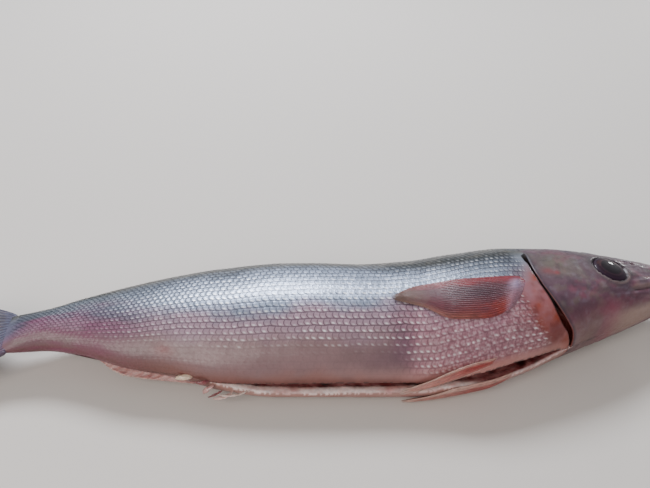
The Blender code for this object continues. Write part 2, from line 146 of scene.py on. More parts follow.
@dataclass(frozen=True)
class BodyForm:
    """Skin of the fish as sections across its length, the same as its solid's."""

    # Place, back edge, belly edge, height of the middle, thickness, sag, roundness exponent.
    sections: Table = (
        (-183.0, 17.5, -8.5, 19.5, 6.0, 0.0, 2.1),
        (-176.0, 17.0, -7.5, 19.5, 13.0, 0.0, 2.1),
        (-165.0, 18.0, -6.5, 19.5, 17.5, 0.0, 2.1),
        (-145.0, 25.0, -11.5, 19.8, 20.5, 0.0, 2.1),
        (-120.0, 31.0, -22.0, 20.5, 27.0, 1.5, 2.1),
        (-95.0, 35.5, -28.5, 21.0, 33.0, 4.0, 2.1),
        (-70.0, 38.5, -36.5, 21.4, 38.0, 6.5, 2.1),
        (-45.0, 38.5, -40.0, 21.8, 42.0, 7.5, 2.15),
        (-15.0, 36.0, -42.5, 22.0, 44.5, 7.5, 2.15),
        (15.0, 32.0, -45.5, 22.0, 45.0, 7.5, 2.15),
        (40.0, 31.5, -48.5, 22.6, 46.5, 7.0, 2.15),
        (65.0, 33.0, -49.5, 23.8, 49.5, 6.0, 2.15),
        (90.0, 33.5, -44.5, 24.5, 51.0, 4.0, 2.2),
        (115.0, 29.5, -36.5, 24.5, 49.5, 1.0, 2.4),
        (140.0, 25.0, -28.5, 24.6, 43.0, 0.0, 2.7),
        (162.0, 20.5, -21.8, 24.2, 35.5, 0.0, 2.7),
        (184.0, 15.5, -14.0, 23.6, 27.0, 0.0, 2.6),
        (199.0, 11.0, -9.5, 23.0, 20.0, 0.0, 2.5),
        (208.0, 7.0, -6.0, 22.6, 13.0, 0.0, 2.4),
    )
    flap_lip: Table = (
        (-90.0, 0.0), (-68.0, 1.6), (-45.0, 3.6), (0.0, 4.0), (40.0, 3.4), (66.0, 1.6),
        (96.0, 0.7), (118.0, 0.0),
    )
    lip_first_angle: float = 183.0
    lip_last_angle: float = 243.0
    lip_skew: float = 0.7
    lip_power: float = 1.5
    upper_fullness: float = 1.03
    lower_fullness: float = 1.10
    sag_power: float = 1.6
    snout_start: float = 206.0
    snout_end: float = 211.0
    snout_middle: Span = (0.6, 22.4)
    flank_span: Span = (0.0, 180.0)
    belly_span: Span = (150.0, 225.0)
    halvings: int = 26  # steps of a search for a section angle

    def point(self, x: Array, degrees: Array) -> Array:
        """Points of the skin.

        Args:
            x: places along the fish.
            degrees: section angles; 0 is the back edge, 90 the middle of the upper flank.

        Returns:
            An array of points with the shape of x and a last axis of three.
        """
        x, degrees = np.broadcast_arrays(x, degrees)
        back, belly, middle, thickness, sag, exponent = smooth_columns(self.sections, x)
        turn = np.radians(degrees)
        cosine = np.sign(np.cos(turn)) * np.abs(np.cos(turn)) ** (2.0 / exponent)
        sine = np.sign(np.sin(turn)) * np.abs(np.sin(turn)) ** (2.0 / exponent)
        fullness = np.where(sine > 0.0, self.upper_fullness, self.lower_fullness)
        y = (back + belly) / 2 + (back - belly) / 2 * cosine
        z = middle + thickness / 2 * fullness * sine
        z = z - sag * np.maximum(0.0, -cosine) ** self.sag_power
        span = self.lip_last_angle - self.lip_first_angle
        share = np.clip((degrees % 360.0 - self.lip_first_angle) / span, 0.0, 1.0)
        bump = np.sin(np.pi * share**self.lip_skew)
        y = y - smooth_columns(self.flap_lip, x)[0] * np.maximum(bump, 0.0) ** self.lip_power
        z = np.maximum(z, 0.0)
        end = np.clip((x - self.snout_start) / (self.snout_end - self.snout_start), 0.0, 1.0)
        shrink = np.sqrt(np.maximum(1.0 - end**2, 0.0))
        y = self.snout_middle[0] + (y - self.snout_middle[0]) * shrink
        z = self.snout_middle[1] + (z - self.snout_middle[1]) * shrink
        return np.stack([np.array(x, dtype=float), y, z], axis=-1)

    def outward(self, x: Array, degrees: Array) -> Array:
        """Find which way the skin faces, from points a little to each side.

        Args:
            x: places along the fish.
            degrees: section angles.

        Returns:
            Outward unit directions.
        """
        x, degrees = np.broadcast_arrays(x, degrees)
        reach = np.minimum(x + 1.0, self.snout_end - 0.4)
        around = self.point(x, degrees + 2.0) - self.point(x, degrees - 2.0)
        along = self.point(reach, degrees) - self.point(reach - 2.0, degrees)
        normal = np.cross(around, along)
        length = np.linalg.norm(normal, axis=-1, keepdims=True)
        return normal / np.maximum(length, 1e-9)

    def angle_where(self, x: Array, wanted: Array, axis: Axis, span: Span) -> Array:
        """Find where round the section the skin falls to a wanted place or height.

        Args:
            x: places along the fish.
            wanted: the place across or the height.
            axis: which of the two it is.
            span: section angles to search between.

        Returns:
            Section angles.
        """
        x, wanted = np.broadcast_arrays(x, wanted)
        low = np.full(x.shape, span[0])
        high = np.full(x.shape, span[1])
        for _ in range(self.halvings):
            middle = (low + high) / 2
            above = self.point(x, middle)[..., axis.value] > wanted
            low = np.where(above, middle, low)
            high = np.where(above, high, middle)
        return (low + high) / 2

    def flank_angle(self, x: Array, y: Array) -> Array:
        """Section angle of the upper flank at places (x, y)."""
        return self.angle_where(x, y, Axis.ACROSS, self.flank_span)

    def belly_angle(self, x: Array, height: Array) -> Array:
        """Section angle of the belly side at a height."""
        return self.angle_where(x, height, Axis.UP, self.belly_span)


FORM = BodyForm()


def half_turn(angles: Array) -> Array:
    """Bring section angles to -180 to 180, above zero on the right flank."""
    return np.where(angles < -180.0, angles + 360.0, angles)


def from_back(angles: Array) -> Array:
    """Section angles from the back edge, 0 to 180 and the same on both flanks."""
    return np.abs(half_turn(angles))


# ---------------------------------------------------------------- mesh helpers


def only_select(item: Piece) -> None:
    """Select one object alone and make it active."""
    bpy.ops.object.select_all(action="DESELECT")
    item.select_set(True)
    bpy.context.view_layer.objects.active = item


def grid_sheet(name: str, columns: int, rows: int) -> Piece:
    """Add a grid primitive.

    Args:
        name: name of the piece.
        columns: vertices along the fish.
        rows: vertices across.

    Returns:
        The grid, whose vertex number is row * columns + column.
    """
    bpy.ops.object.select_all(action="DESELECT")
    bpy.ops.mesh.primitive_grid_add(x_subdivisions=columns - 1, y_subdivisions=rows - 1, size=1.0)
    sheet = bpy.context.object
    sheet.name = name
    sheet.data.name = name
    return sheet


def shape_sheet(sheet: Piece, points: Array, uv: Array) -> None:
    """Move a grid's vertices onto a surface and give it a map.

    Args:
        sheet: grid made by grid_sheet.
        points: places in millimetres, rows by columns by three.
        uv: map coordinates, rows by columns by two.
    """
    mesh = sheet.data
    flat = (points.reshape(-1, 3) * MM).astype(np.float32)
    mesh.vertices.foreach_set("co", flat.ravel())
    corner = np.empty(len(mesh.loops), dtype=np.int32)
    mesh.loops.foreach_get("vertex_index", corner)
    layer = mesh.uv_layers.new(name="pattern") if not mesh.uv_layers else mesh.uv_layers[0]
    layer.name = "pattern"
    layer.data.foreach_set("uv", uv.reshape(-1, 2)[corner].astype(np.float32).ravel())
    mesh.update()


def paint(sheet: Piece, name: str, colours: Array) -> None:
    """Store a linear colour for each vertex.

    Args:
        sheet: the object to paint.
        name: name of the attribute.
        colours: three or four values for each vertex, in the mesh's order.
    """
    layer = sheet.data.attributes.new(name=name, type="FLOAT_COLOR", domain="POINT")
    flat = colours.reshape(-1, colours.shape[-1])
    full = np.ones((len(flat), 4), dtype=np.float32)
    full[:, : flat.shape[1]] = flat
    layer.data.foreach_set("color", full.ravel())


def vertex_places(item: Piece) -> Array:
    """Read the places of an object's vertices in its own mesh.

    Args:
        item: the object.

    Returns:
        Places, vertices by three.
    """
    places = np.empty(len(item.data.vertices) * 3)
    item.data.vertices.foreach_get("co", places)
    return places.reshape(-1, 3)


def weld(item: Piece, distance: float = 0.00001) -> None:
    """Merge vertices that lie on one another and turn the faces outwards.

    Args:
        item: the object to weld.
        distance: metres between vertices that are merged.
    """
    only_select(item)
    bpy.ops.object.mode_set(mode="EDIT")
    bpy.ops.mesh.select_all(action="SELECT")
    bpy.ops.mesh.remove_doubles(threshold=distance)
    bpy.ops.mesh.dissolve_degenerate(threshold=distance / 10)
    bpy.ops.mesh.select_all(action="SELECT")
    bpy.ops.mesh.normals_make_consistent(inside=False)
    bpy.ops.object.mode_set(mode="OBJECT")
    bpy.ops.object.shade_smooth()


def finish_piece(item: Piece, node: str | None) -> None:
    """Hand a finished piece to the frame.

    Args:
        item: the piece, in its place.
        node: the solid it stands for, or None.
    """
    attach(item, ROOT)
    if node is not None:
        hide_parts(node)
    log.info("%s: %d faces", item.name, len(item.data.polygons))


# ---------------------------------------------------------------- nodes


def add_node(
    tree: Tree,
    kind: str,
    settings: dict[str, object] | None = None,
    inputs: dict[int | str, object] | None = None,
) -> Node:
    """Add a shader node.

    Args:
        tree: node tree to add it to.
        kind: node type.
        settings: attributes of the node to set.
        inputs: socket values, or sockets to link, by name or number.

    Returns:
        The new node.
    """
    node = tree.nodes.new(kind)
    for key, value in (settings or {}).items():
        setattr(node, key, value)
    for key, value in (inputs or {}).items():
        if isinstance(value, Socket):
            tree.links.new(value, node.inputs[key])
        else:
            node.inputs[key].default_value = value
    return node


def calculate(tree: Tree, operation: str, *values: object) -> Socket:
    """Add a math node.

    Args:
        tree: node tree to add it to.
        operation: the sum to do.
        values: numbers or sockets to do it with.

    Returns:
        The result's socket.
    """
    node = add_node(tree, "ShaderNodeMath", {"operation": operation}, dict(enumerate(values)))
    return node.outputs[0]


def blend_colours(
    tree: Tree, share: object, first: object, second: object, mode: str = "MIX"
) -> Socket:
    """Mix two colours.

    Args:
        tree: node tree to add the mix to.
        share: number or socket, 0 for the first colour and 1 for the second.
        first: colour or socket.
        second: colour or socket.
        mode: blend type.

    Returns:
        The mixed colour's socket.
    """
    node = add_node(tree, "ShaderNodeMix", {"data_type": "RGBA", "blend_type": mode})
    for number, value in ((0, share), (6, first), (7, second)):
        if isinstance(value, Socket):
            tree.links.new(value, node.inputs[number])
        else:
            node.inputs[number].default_value = value
    return node.outputs[2]


def remap(
    tree: Tree, value: object, low: float, high: float, to_low: float, to_high: float
) -> Socket:
    """Map a value smoothly from one range to another.

    Args:
        tree: node tree to add the map to.
        value: number or socket.
        low: start of the first range.
        high: end of the first range.
        to_low: value at its start.
        to_high: value at its end.

    Returns:
        The mapped value's socket.
    """
    node = add_node(
        tree,
        "ShaderNodeMapRange",
        {"interpolation_type": "SMOOTHSTEP"},
        {0: value, 1: low, 2: high, 3: to_low, 4: to_high},
    )
    return node.outputs[0]


def new_material(name: str) -> tuple[Material, Tree, Node]:
    """Make an empty Principled material.

    Args:
        name: name of the material.

    Returns:
        The material, its node tree and its Principled shader.
    """
    material = bpy.data.materials.new(name)
    material.use_nodes = True
    tree = material.node_tree
    return material, tree, tree.nodes["Principled BSDF"]


def press(tree: Tree, shader: Node, height: Socket, strength: float, depth: float) -> None:
    """Press a pattern's fine relief into a shader's surface.

    Args:
        tree: node tree of the material.
        shader: its Principled shader.
        height: height of the pattern.
        strength: strength of the relief, 0 to 1.
        depth: metres of relief for a height of 1.
    """
    inputs = {"Strength": strength, "Distance": depth, "Height": height}
    bump = add_node(tree, "ShaderNodeBump", None, inputs)
    tree.links.new(bump.outputs[0], shader.inputs["Normal"])


def let_light_in(shader: Node, weight: float, reach: Place) -> None:
    """Let light spread below the surface, by metres of reach in red, green and blue."""
    shader.inputs["Subsurface Weight"].default_value = weight
    shader.inputs["Subsurface Radius"].default_value = reach
    shader.inputs["Subsurface Scale"].default_value = 1.0


# ---------------------------------------------------------------- the scale pattern


@dataclass(frozen=True)
class ScalePattern:
    """How the scales overlap, in units of one scale's length and one row's height.

    Neighbouring rows are half a scale apart, and each rear edge is a shallow arc.
    """

    roundness: float = 1.3
    thickness: float = 0.3  # millimetres of relief at the rear edge
    sunk: float = 0.12  # millimetres that the scales lie deeper than the plain form
    crowning: float = 2.4

    def covering(self, along: Array, around: Array) -> tuple[Array, Array]:
        """Find the scale at each place.

        Args:
            along: place towards the tail, in scales.
            around: place round the body, in rows.

        Returns:
            The distance to the scale's rear edge, from 0 at the edge to 1 at its hidden front,
            and the distance from the row's middle line, from -0.5 to 0.5.
        """
        row = np.round(around)
        offset = around - row
        moved = along - 0.5 * np.mod(row, 2.0) + self.roundness * offset**2
        return np.ceil(moved) - moved, offset

    def relief(self, along: Array, around: Array) -> Array:
        """Height of the scales in millimetres, highest at each rear edge."""
        to_edge, offset = self.covering(along, around)
        crown = 1.0 - self.crowning * offset**2
        return self.thickness * (1.0 - to_edge) * crown


SCALES = ScalePattern()


# ---------------------------------------------------------------- the body


@dataclass(frozen=True)
class BodySizes:
    """Sizes of the skin mesh and of its cuts, in millimetres and degrees."""

    scale_rows: int = 54
    steps_per_scale: int = 4
    steps_per_row: int = 3
    head_columns: int = 96
    tail_end: float = -183.0
    # Place and scale length.
    pitch: Table = (
        (-183.0, 2.1), (-120.0, 2.7), (-40.0, 3.4), (10.0, 3.4), (50.0, 2.9), (102.0, 2.6),
    )
    gill_column: float = 102.0
    # Section angle and place of the gill cover's rear edge.
    gill_edge: Table = (
        (0.0, 101.5), (60.0, 103.4), (70.0, 103.8), (81.0, 103.0), (90.0, 102.5), (101.0, 103.3),
        (117.0, 106.2), (134.0, 109.9), (151.0, 113.9), (164.0, 116.9), (182.0, 119.3),
    )
    # Section angle and width of the gill slit.
    gill_width: Table = (
        (60.0, 0.4), (70.0, 2.2), (77.0, 1.8), (84.0, 0.7), (95.0, 0.4), (106.0, 0.5),
        (121.0, 0.9), (135.0, 2.0), (150.0, 2.8), (164.0, 2.3), (182.0, 1.2),
    )
    gill_first_angle: float = 66.0
    gill_last_angle: float = 162.0
    gill_reach_back: float = 42.0
    gill_reach_front: float = 30.0
    # Steps of the slit from the shoulder skin, under the cover and out to the cover's edge:
    # how far forward in widths, how far forward in millimetres and how deep.
    gill_profile: Table = (
        (-1.0, -1.5, 0.0), (-1.0, -0.6, 0.5), (-0.8, 0.0, 3.2), (-0.3, 0.0, 7.0), (0.0, 2.0, 9.3),
        (0.0, 4.6, 9.0), (0.0, 3.2, 4.6), (0.0, 1.0, 1.7), (0.0, 0.25, 1.0), (0.0, -0.1, 0.35),
        (0.0, 0.7, 0.0),
    )
    slit_rear: float = -77.0
    slit_front: float = 121.0
    # Place and heights of the belly slit's upper and lower lip.
    slit: Table = (
        (-77.0, 15.0, 15.0), (-72.0, 15.0, 13.7), (-64.0, 15.0, 11.6), (-45.0, 15.1, 9.2),
        (0.0, 15.2, 8.7), (35.0, 15.8, 10.2), (53.0, 18.8, 12.3), (67.0, 22.4, 12.6),
        (79.0, 24.0, 13.3), (91.0, 24.2, 14.5), (104.0, 23.2, 16.4), (113.0, 21.4, 17.8),
        (121.0, 19.6, 19.6),
    )
    # Place, middle across, middle height and both half widths of the empty gut cavity.
    cavity: Table = (
        (-77.0, -29.0, 15.0, 3.0, 2.5),
        (-74.0, -27.0, 15.0, 4.0, 3.0),
        (-58.0, -21.0, 17.0, 13.0, 7.5),
        (-30.0, -18.0, 19.5, 19.0, 12.0),
        (10.0, -19.0, 20.5, 21.0, 13.5),
        (55.0, -21.0, 21.0, 22.0, 14.0),
        (88.0, -18.0, 22.5, 19.0, 13.0),
        (108.0, -15.0, 23.5, 13.0, 10.0),
        (119.0, -15.0, 24.0, 7.0, 5.5),
        (121.0, -16.0, 23.0, 6.0, 5.0),
    )
    lining_steps: int = 26
    mouth_angle: float = 14.0  # half the part of the cavity's oval that opens to the slit
    # Steps inwards and upwards from each lip of the belly slit to the cavity's wall.
    upper_lip: Table = ((0.5, -0.45), (1.5, -0.75), (3.0, -0.6), (4.6, 0.3))
    lower_lip: Table = ((6.2, -0.1), (4.6, 0.75), (3.0, 1.15), (1.6, 1.05), (0.6, 0.6))
    gill_draw: float = 1.7  # how far the shoulder's skin draws back to open the slit
    gill_draw_reach: float = 9.0
    gill_full_width: float = 1.2  # width from which the slit has its whole depth
    snout_gap: float = 0.02
    snout_crowding: float = 1.15
    pitch_samples: int = 4000
    ring_samples: int = 360


@dataclass(frozen=True)
class HeadForms:
    """Low relief of the head; places, heights and widths in millimetres."""

    eye_place: Span = (151.5, -1.0)
    eye_radius: float = 9.6
    eye_oval: float = 1.05
    socket_depth: float = 5.2
    mouth_corner: Span = (162.0, -14.2)
    mouth_slope: float = 0.27
    mouth_depth: float = 1.5
    lip_height: float = 0.5
    nostrils: Table = ((166.5, 7.4), (170.0, 6.2))
    nostril_depth: float = 1.3
    nostril_rim: float = 0.35
    cheek_middle: Span = (133.0, -4.0)
    cheek_bow: float = 0.022
    plate_height: float = 0.22
    seam_start: Span = (118.0, -17.5)
    seam_slope: float = 0.10
    # Place across and slope of each fold, at the place where the folds start.
    throat_folds: Table = ((-19.8, 0.16), (-17.4, 0.18))
    throat_start: float = 150.0
    throat_depth: float = 0.4

    def from_eye(self, x: Array, y: Array) -> Array:
        """Distance from the middle of the eye."""
        return np.hypot(x - self.eye_place[0], y - self.eye_place[1])

    def mouth_line(self, x: Array) -> Array:
        """Place across of the line between the jaws."""
        return self.mouth_corner[1] + (x - self.mouth_corner[0]) * self.mouth_slope

    def socket(self, x: Array, y: Array) -> Array:
        """Sink the eye socket and raise a low ring round it.

        Args:
            x: places along the head.
            y: places across the head.

        Returns:
            Heights over the smooth skin.
        """
        far = np.hypot(x - self.eye_place[0], (y - self.eye_place[1]) * self.eye_oval)
        radius = self.eye_radius
        sunk = -self.socket_depth * (1.0 - rise(far, radius - 0.25, radius + 0.3))
        return sunk + 0.12 * hump(far - radius - 1.5, 1.6)

    def jaws(self, x: Array, y: Array) -> Array:
        """Cut the mouth line between two raised lips.

        Args:
            x: places along the head.
            y: places across the head.

        Returns:
            Heights over the smooth skin.
        """
        above = y - self.mouth_line(x)
        upper = self.lip_height * rise(above, -0.4, 0.5) * (1.0 - rise(above, 3.6, 6.4))
        line = self.mouth_depth * hump(above, 0.7)
        lower = self.lip_height * hump(above + 2.6, 1.5)
        return rise(x, 159.5, 163.5) * (upper - line + lower)

    def nostril_pits(self, x: Array, y: Array) -> Array:
        """Sink the two nostrils, each with a low rim round it.

        Args:
            x: places along the head.
            y: places across the head.

        Returns:
            Heights over the smooth skin.
        """
        pits = np.zeros(x.shape)
        for nostril_x, nostril_y in self.nostrils:
            near = np.hypot(x - nostril_x, y - nostril_y)
            pits += self.nostril_rim * hump(near - 1.7, 0.6) - self.nostril_depth * hump(near, 0.9)
        return pits

    def plates(self, x: Array, y: Array) -> Array:
        """Raise the cheek plate and press in its seam and that of the gill cover.

        Args:
            x: places along the head.
            y: places across the head.

        Returns:
            Heights over the smooth skin.
        """
        cheek = self.cheek_middle[0] + self.cheek_bow * (y - self.cheek_middle[1]) ** 2
        plate = rise(x, cheek - 1.6, cheek + 1.6) * (1.0 - rise(x, cheek + 5.0, cheek + 13.0))
        seam_y = self.seam_start[1] - self.seam_slope * (x - self.seam_start[0])
        on_cover = rise(x, 110.0, 116.0) * (1.0 - rise(x, 134.0, 140.0))
        seams = 0.18 * hump(x - cheek + 1.1, 1.2) + 0.22 * on_cover * hump(y - seam_y, 1.4)
        return self.plate_height * plate - seams

    def throat(self, x: Array, y: Array) -> Array:
        """Press the skin folds between the jaws in.

        Args:
            x: places along the head.
            y: places across the head.

        Returns:
            Heights over the smooth skin.
        """
        folds = np.zeros(x.shape)
        for fold_y, slope in self.throat_folds:
            fold = y - fold_y - (x - self.throat_start) * slope
            folds -= self.throat_depth * rise(x, 142.0, 152.0) * hump(fold, 0.55)
        return folds

    def height(self, points: Array, angles: Array) -> Array:
        """Add up all forms of the head and fade them out at the back and belly edges.

        Args:
            points: places on the smooth skin.
            angles: their section angles.

        Returns:
            Heights over the smooth skin.
        """
        x, y = points[..., 0], points[..., 1]
        flank = rise(np.abs(np.sin(np.radians(angles))), 0.15, 0.4)
        relief = self.socket(x, y) + self.jaws(x, y) + self.nostril_pits(x, y)
        relief += self.plates(x, y) + self.throat(x, y)
        relief += 0.25 * wobble(x / 5.0 + y / 8.0, 1.0) * wobble(y / 4.5, 2.0)
        return relief * flank


HEAD = HeadForms()


class FishBody:
    """Skin, head, slits and inside of the gutted fish, as one closed skin."""

    def __init__(self, sizes: BodySizes) -> None:
        """Keep the sizes and work out the columns along the fish.

        Args:
            sizes: sizes of the mesh and of its cuts.
        """
        self.sizes = sizes
        fine = np.linspace(sizes.tail_end, sizes.gill_column, sizes.pitch_samples)
        pitch = smooth_columns(sizes.pitch, fine)[0]
        steps = np.diff(fine) / ((pitch[1:] + pitch[:-1]) / 2)
        scales = np.concatenate([[0.0], np.cumsum(steps)])
        scale_count = float(scales[-1])
        trunk_scales = np.linspace(0.0, scale_count, int(scale_count * sizes.steps_per_scale) + 1)
        self.trunk = np.interp(trunk_scales, scales, fine)
        self.trunk_along = scale_count - trunk_scales
        ease = np.linspace(0.0, 1.0, sizes.head_columns + 1)[1:]
        head_length = FORM.snout_end - sizes.snout_gap - sizes.gill_column
        self.head = sizes.gill_column + head_length * (1.0 - (1.0 - ease) ** sizes.snout_crowding)
        self.slot_count = len(sizes.gill_profile)
        self.rows = sizes.scale_rows * sizes.steps_per_row + 1

    def seam(self, x: Array) -> tuple[Array, Array]:
        """Find the lips of the belly slit, cut a little unevenly by hand.

        Args:
            x: places along the fish.

        Returns:
            Section angles of the upper and of the lower lip.
        """
        upper, lower = smooth_columns(self.sizes.slit, x)
        uneven = rise(x, -70.0, -50.0) * (1.0 - rise(x, 95.0, 112.0))
        upper = upper + 0.28 * uneven * wobble(x / 9.0, 0.4)
        lower = lower + 0.4 * uneven * wobble(x / 6.5, 2.1)
        return FORM.belly_angle(x, upper), FORM.belly_angle(x, lower)

    def even_angles(self, x: Array, first: Array, last: Array) -> Array:
        """Part each section into equal lengths of skin.

        Args:
            x: places of the columns.
            first: angle of the upper lip in each column.
            last: angle of the lower lip in each column, a turn less than it is.

        Returns:
            Angles, rows by columns, falling from first to last.
        """
        fine = np.linspace(0.0, 1.0, self.sizes.ring_samples)[:, None]
        angles = first[None, :] + (last - first)[None, :] * fine
        ring = FORM.point(np.broadcast_to(x, angles.shape), angles)[..., 1:]
        steps = np.linalg.norm(np.diff(ring, axis=0), axis=-1)
        length = np.concatenate([np.zeros((1, len(x))), np.cumsum(steps, axis=0)])
        wanted = np.linspace(0.0, 1.0, self.rows)
        even = np.empty((self.rows, len(x)))
        for column in range(len(x)):
            share = length[:, column] / length[-1, column]
            even[:, column] = np.interp(wanted, share, angles[:, column])
        return even

    def gill_open(self, angles: Array) -> Array:
        """Find how open the gill slits are; the right one runs on into the throat.

        Args:
            angles: section angles of the whole turn.

        Returns:
            Shares, 0 where the slit is closed and 1 where it is open.
        """
        sizes = self.sizes
        folded = from_back(angles)
        start = rise(folded, sizes.gill_first_angle, sizes.gill_first_angle + 6.0)
        end = 1.0 - rise(folded, sizes.gill_last_angle - 10.0, sizes.gill_last_angle)
        right = (angles > 0.0) & (angles < 200.0)
        return start * np.where(right, 1.0, end)

    def gill_edge(self, folded: Array) -> Array:
        """Place of the gill cover's rear edge at angles from the back."""
        return smooth_columns(self.sizes.gill_edge, folded)[0]

    def pulled_columns(self, base: Array) -> tuple[Array, Array]:
        """Bend straight columns near the gill slit to the curve of its edge.

        Args:
            base: places of the straight columns.

        Returns:
            Places and section angles, rows by columns.
        """
        sizes = self.sizes
        gill = sizes.gill_column
        upper, lower = self.seam(base)
        angles = self.even_angles(base, upper, lower - 360.0)
        behind = rise(base, gill - sizes.gill_reach_back, gill)
        before = 1.0 - rise(base, gill, gill + sizes.gill_reach_front)
        pull = np.where(base <= gill, behind, before)
        for _ in range(2):
            edge = self.gill_edge(from_back(angles))
            x = base[None, :] + pull[None, :] * (edge - gill)
            x = np.minimum(x, FORM.snout_end - sizes.snout_gap)
            first, _ = self.seam(x[0])
            _, last = self.seam(x[-1])
            stretch = (angles - angles[0]) / (angles[-1] - angles[0])[None, :]
            angles = first[None, :] + stretch * (last - 360.0 - first)[None, :]
        return x, angles

    def columns(self) -> tuple[Array, Array, Array, Array]:
        """Lay out all columns and open the gill slits between two of them.

        Returns:
            Arrays of rows by columns: place along the fish, section angle, depth under the
            skin, and the pattern coordinate along the fish.
        """
        sizes = self.sizes
        gill = sizes.gill_column
        base = np.concatenate([self.trunk, np.full(self.slot_count, gill), self.head])
        head_along = (gill - self.head) / sizes.pitch[-1][1]
        along = np.concatenate([self.trunk_along, np.zeros(self.slot_count), head_along])
        x, angles = self.pulled_columns(base)
        width = smooth_columns(sizes.gill_width, from_back(angles))[0]
        opened = self.gill_open(angles)
        depth = np.zeros(x.shape)
        slot = len(self.trunk)
        closed = np.linspace(-0.7, 0.5, self.slot_count)
        for step, (widths, forward, deep) in enumerate(sizes.gill_profile):
            column = slot + step
            free = widths * width[:, column] + forward
            share = opened[:, column]
            full = np.clip(width[:, column] / sizes.gill_full_width, 0.6, 1.0)
            x[:, column] += share * free + (1.0 - share) * closed[step]
            depth[:, column] = share * deep * full
        near = rise(base[:slot], gill - sizes.gill_draw_reach, gill)[None, :]
        x[:, :slot] -= opened[:, :slot] * (width[:, :slot] + sizes.gill_draw) * near
        return x, angles, depth, np.broadcast_to(along, x.shape)

    def shoulder(self, x: Array, angles: Array) -> Array:
        """Find the smooth scaleless skin behind the gill slit.

        Args:
            x: places along the fish.
            angles: section angles.

        Returns:
            Shares, 1 at the slit and 0 on the scaly flank.
        """
        folded = from_back(angles)
        edge = self.gill_edge(folded)
        reach = 5.0 + 10.0 * rise(folded, 84.0, 112.0)
        behind = rise(x, edge - reach - 3.0, edge - reach + 3.0)
        return behind * rise(folded, 62.0, 84.0) * (x < edge + 3.0)

    def scaliness(self, x: Array, angles: Array) -> Array:
        """Find where the skin has scales: none on the head, the shoulder and the slit's lips.

        Args:
            x: places along the fish, rows by columns.
            angles: section angles.

        Returns:
            Shares, 0 on bare skin and 1 on scales.
        """
        rows = np.arange(self.rows) / self.sizes.steps_per_row
        from_lip = np.minimum(rows, rows[-1] - rows)[:, None]
        in_slit = rise(x, -84.0, -74.0) * (1.0 - rise(x, 118.0, 123.0))
        off_lip = 1.0 - in_slit * (1.0 - rise(np.broadcast_to(from_lip, x.shape), 0.6, 2.2))
        on_trunk = (np.arange(x.shape[1]) < len(self.trunk))[None, :]
        scaled = on_trunk * rise(x, -183.0, -176.0) * (1.0 - self.shoulder(x, angles)) * off_lip
        nape = rise(x, 92.0, 99.0) * (1.0 - rise(from_back(angles), 70.0, 90.0))
        return scaled * (1.0 - nape)

    def relief(self, x: Array, angles: Array, scale_height: Array, head_height: Array) -> Array:
        """Add up the relief of scales, head, soft belly and uneven flesh.

        Args:
            x: places along the fish.
            angles: section angles.
            scale_height: relief of the scales, already faded where there are none.
            head_height: relief of the head's forms.

        Returns:
            Heights over the plain form in millimetres.
        """
        folded = from_back(angles)
        on_head = (np.arange(x.shape[1]) >= len(self.trunk))[None, :]
        smoother = rise(folded, 120.0, 145.0) * (1.0 - 0.5 * rise(x, 15.0, 40.0))
        relief = scale_height * (1.0 - 0.7 * smoother)
        relief = relief + rise(x, 103.0, 112.0) * on_head * head_height
        soft = rise(folded, 95.0, 150.0) * rise(x, -95.0, -60.0) * (1.0 - rise(x, 85.0, 105.0))
        relief = relief + 0.5 * soft * wobble(x / 17.0, 0.3) * wobble(folded / 14.0, 1.2)
        return relief + 0.22 * wobble(x / 11.0 + folded / 21.0, 0.9) * wobble(folded / 17.0, 4.0)

    def skin(self) -> tuple[Array, Array, Array, Array]:
        """Lay the whole skin out over the plain form.

        Returns:
            Points, section angles, pattern coordinates and scale strength, rows by columns.
        """
        x, angles, depth, along = self.columns()
        plain_points = FORM.point(x, angles)
        normal = FORM.outward(x, angles)
        rows = np.arange(self.rows) / self.sizes.steps_per_row
        around = rows[:, None] + 0.2 * wobble(x / 6.0, 1.0) * wobble(rows / 2.3, 3.0)[:, None]
        along = along + 0.32 * wobble(x / 8.0, 5.0) * wobble(rows / 1.9, 2.0)[:, None]
        scaled = self.scaliness(x, angles)
        scale_height = scaled * (SCALES.relief(along, around) - SCALES.sunk)
        relief = self.relief(x, angles, scale_height, HEAD.height(plain_points, angles))
        resting = rise(plain_points[..., 2], 0.05, 1.6)
        ends = 1.0 - rise(x, 205.0, 210.0)
        points = plain_points + normal * ((relief * resting * ends - depth)[..., None])
        points[..., 2] = np.maximum(points[..., 2], 0.0)
        return points, angles, np.stack([along, around], axis=-1), scaled

    def lining(self, first: Array, last: Array, x: Array) -> Array:
        """Inside of the cut: upper lip, cavity wall and lower lip.

        Args:
            first: upper lip of the skin, one point per column.
            last: lower lip of the skin, one point per column.
            x: place of each column.

        Returns:
            Points, steps by columns by three, from the upper lip to the lower one.
        """
        sizes = self.sizes
        across, height, half_across, half_height = smooth_columns(sizes.cavity, x)
        turns = np.linspace(180.0 - sizes.mouth_angle, sizes.mouth_angle - 180.0, sizes.lining_steps)
        ring = [first]
        for inward, up in sizes.upper_lip:
            ring.append(first + np.array([0.0, inward, up]))
        for number, turn in enumerate(np.radians(turns)):
            folds = 1.0 + 0.025 * wobble(x / 7.0 + number * 0.5, 0.7)
            y = across + half_across * folds * math.cos(turn)
            z = height + half_height * folds * math.sin(turn)
            ring.append(np.stack([x, y, z], axis=-1))
        for inward, up in sizes.lower_lip:
            ring.append(last + np.array([0.0, inward, up]))
        ring.append(last)
        points = np.stack(ring)
        middle = (first + last) / 2
        size = rise(x, sizes.slit_rear, -64.0) * (1.0 - rise(x, 108.0, sizes.slit_front))
        inner = middle[None] + (points - middle[None]) * size[None, :, None]
        points[1:-1] = inner[1:-1]
        return points

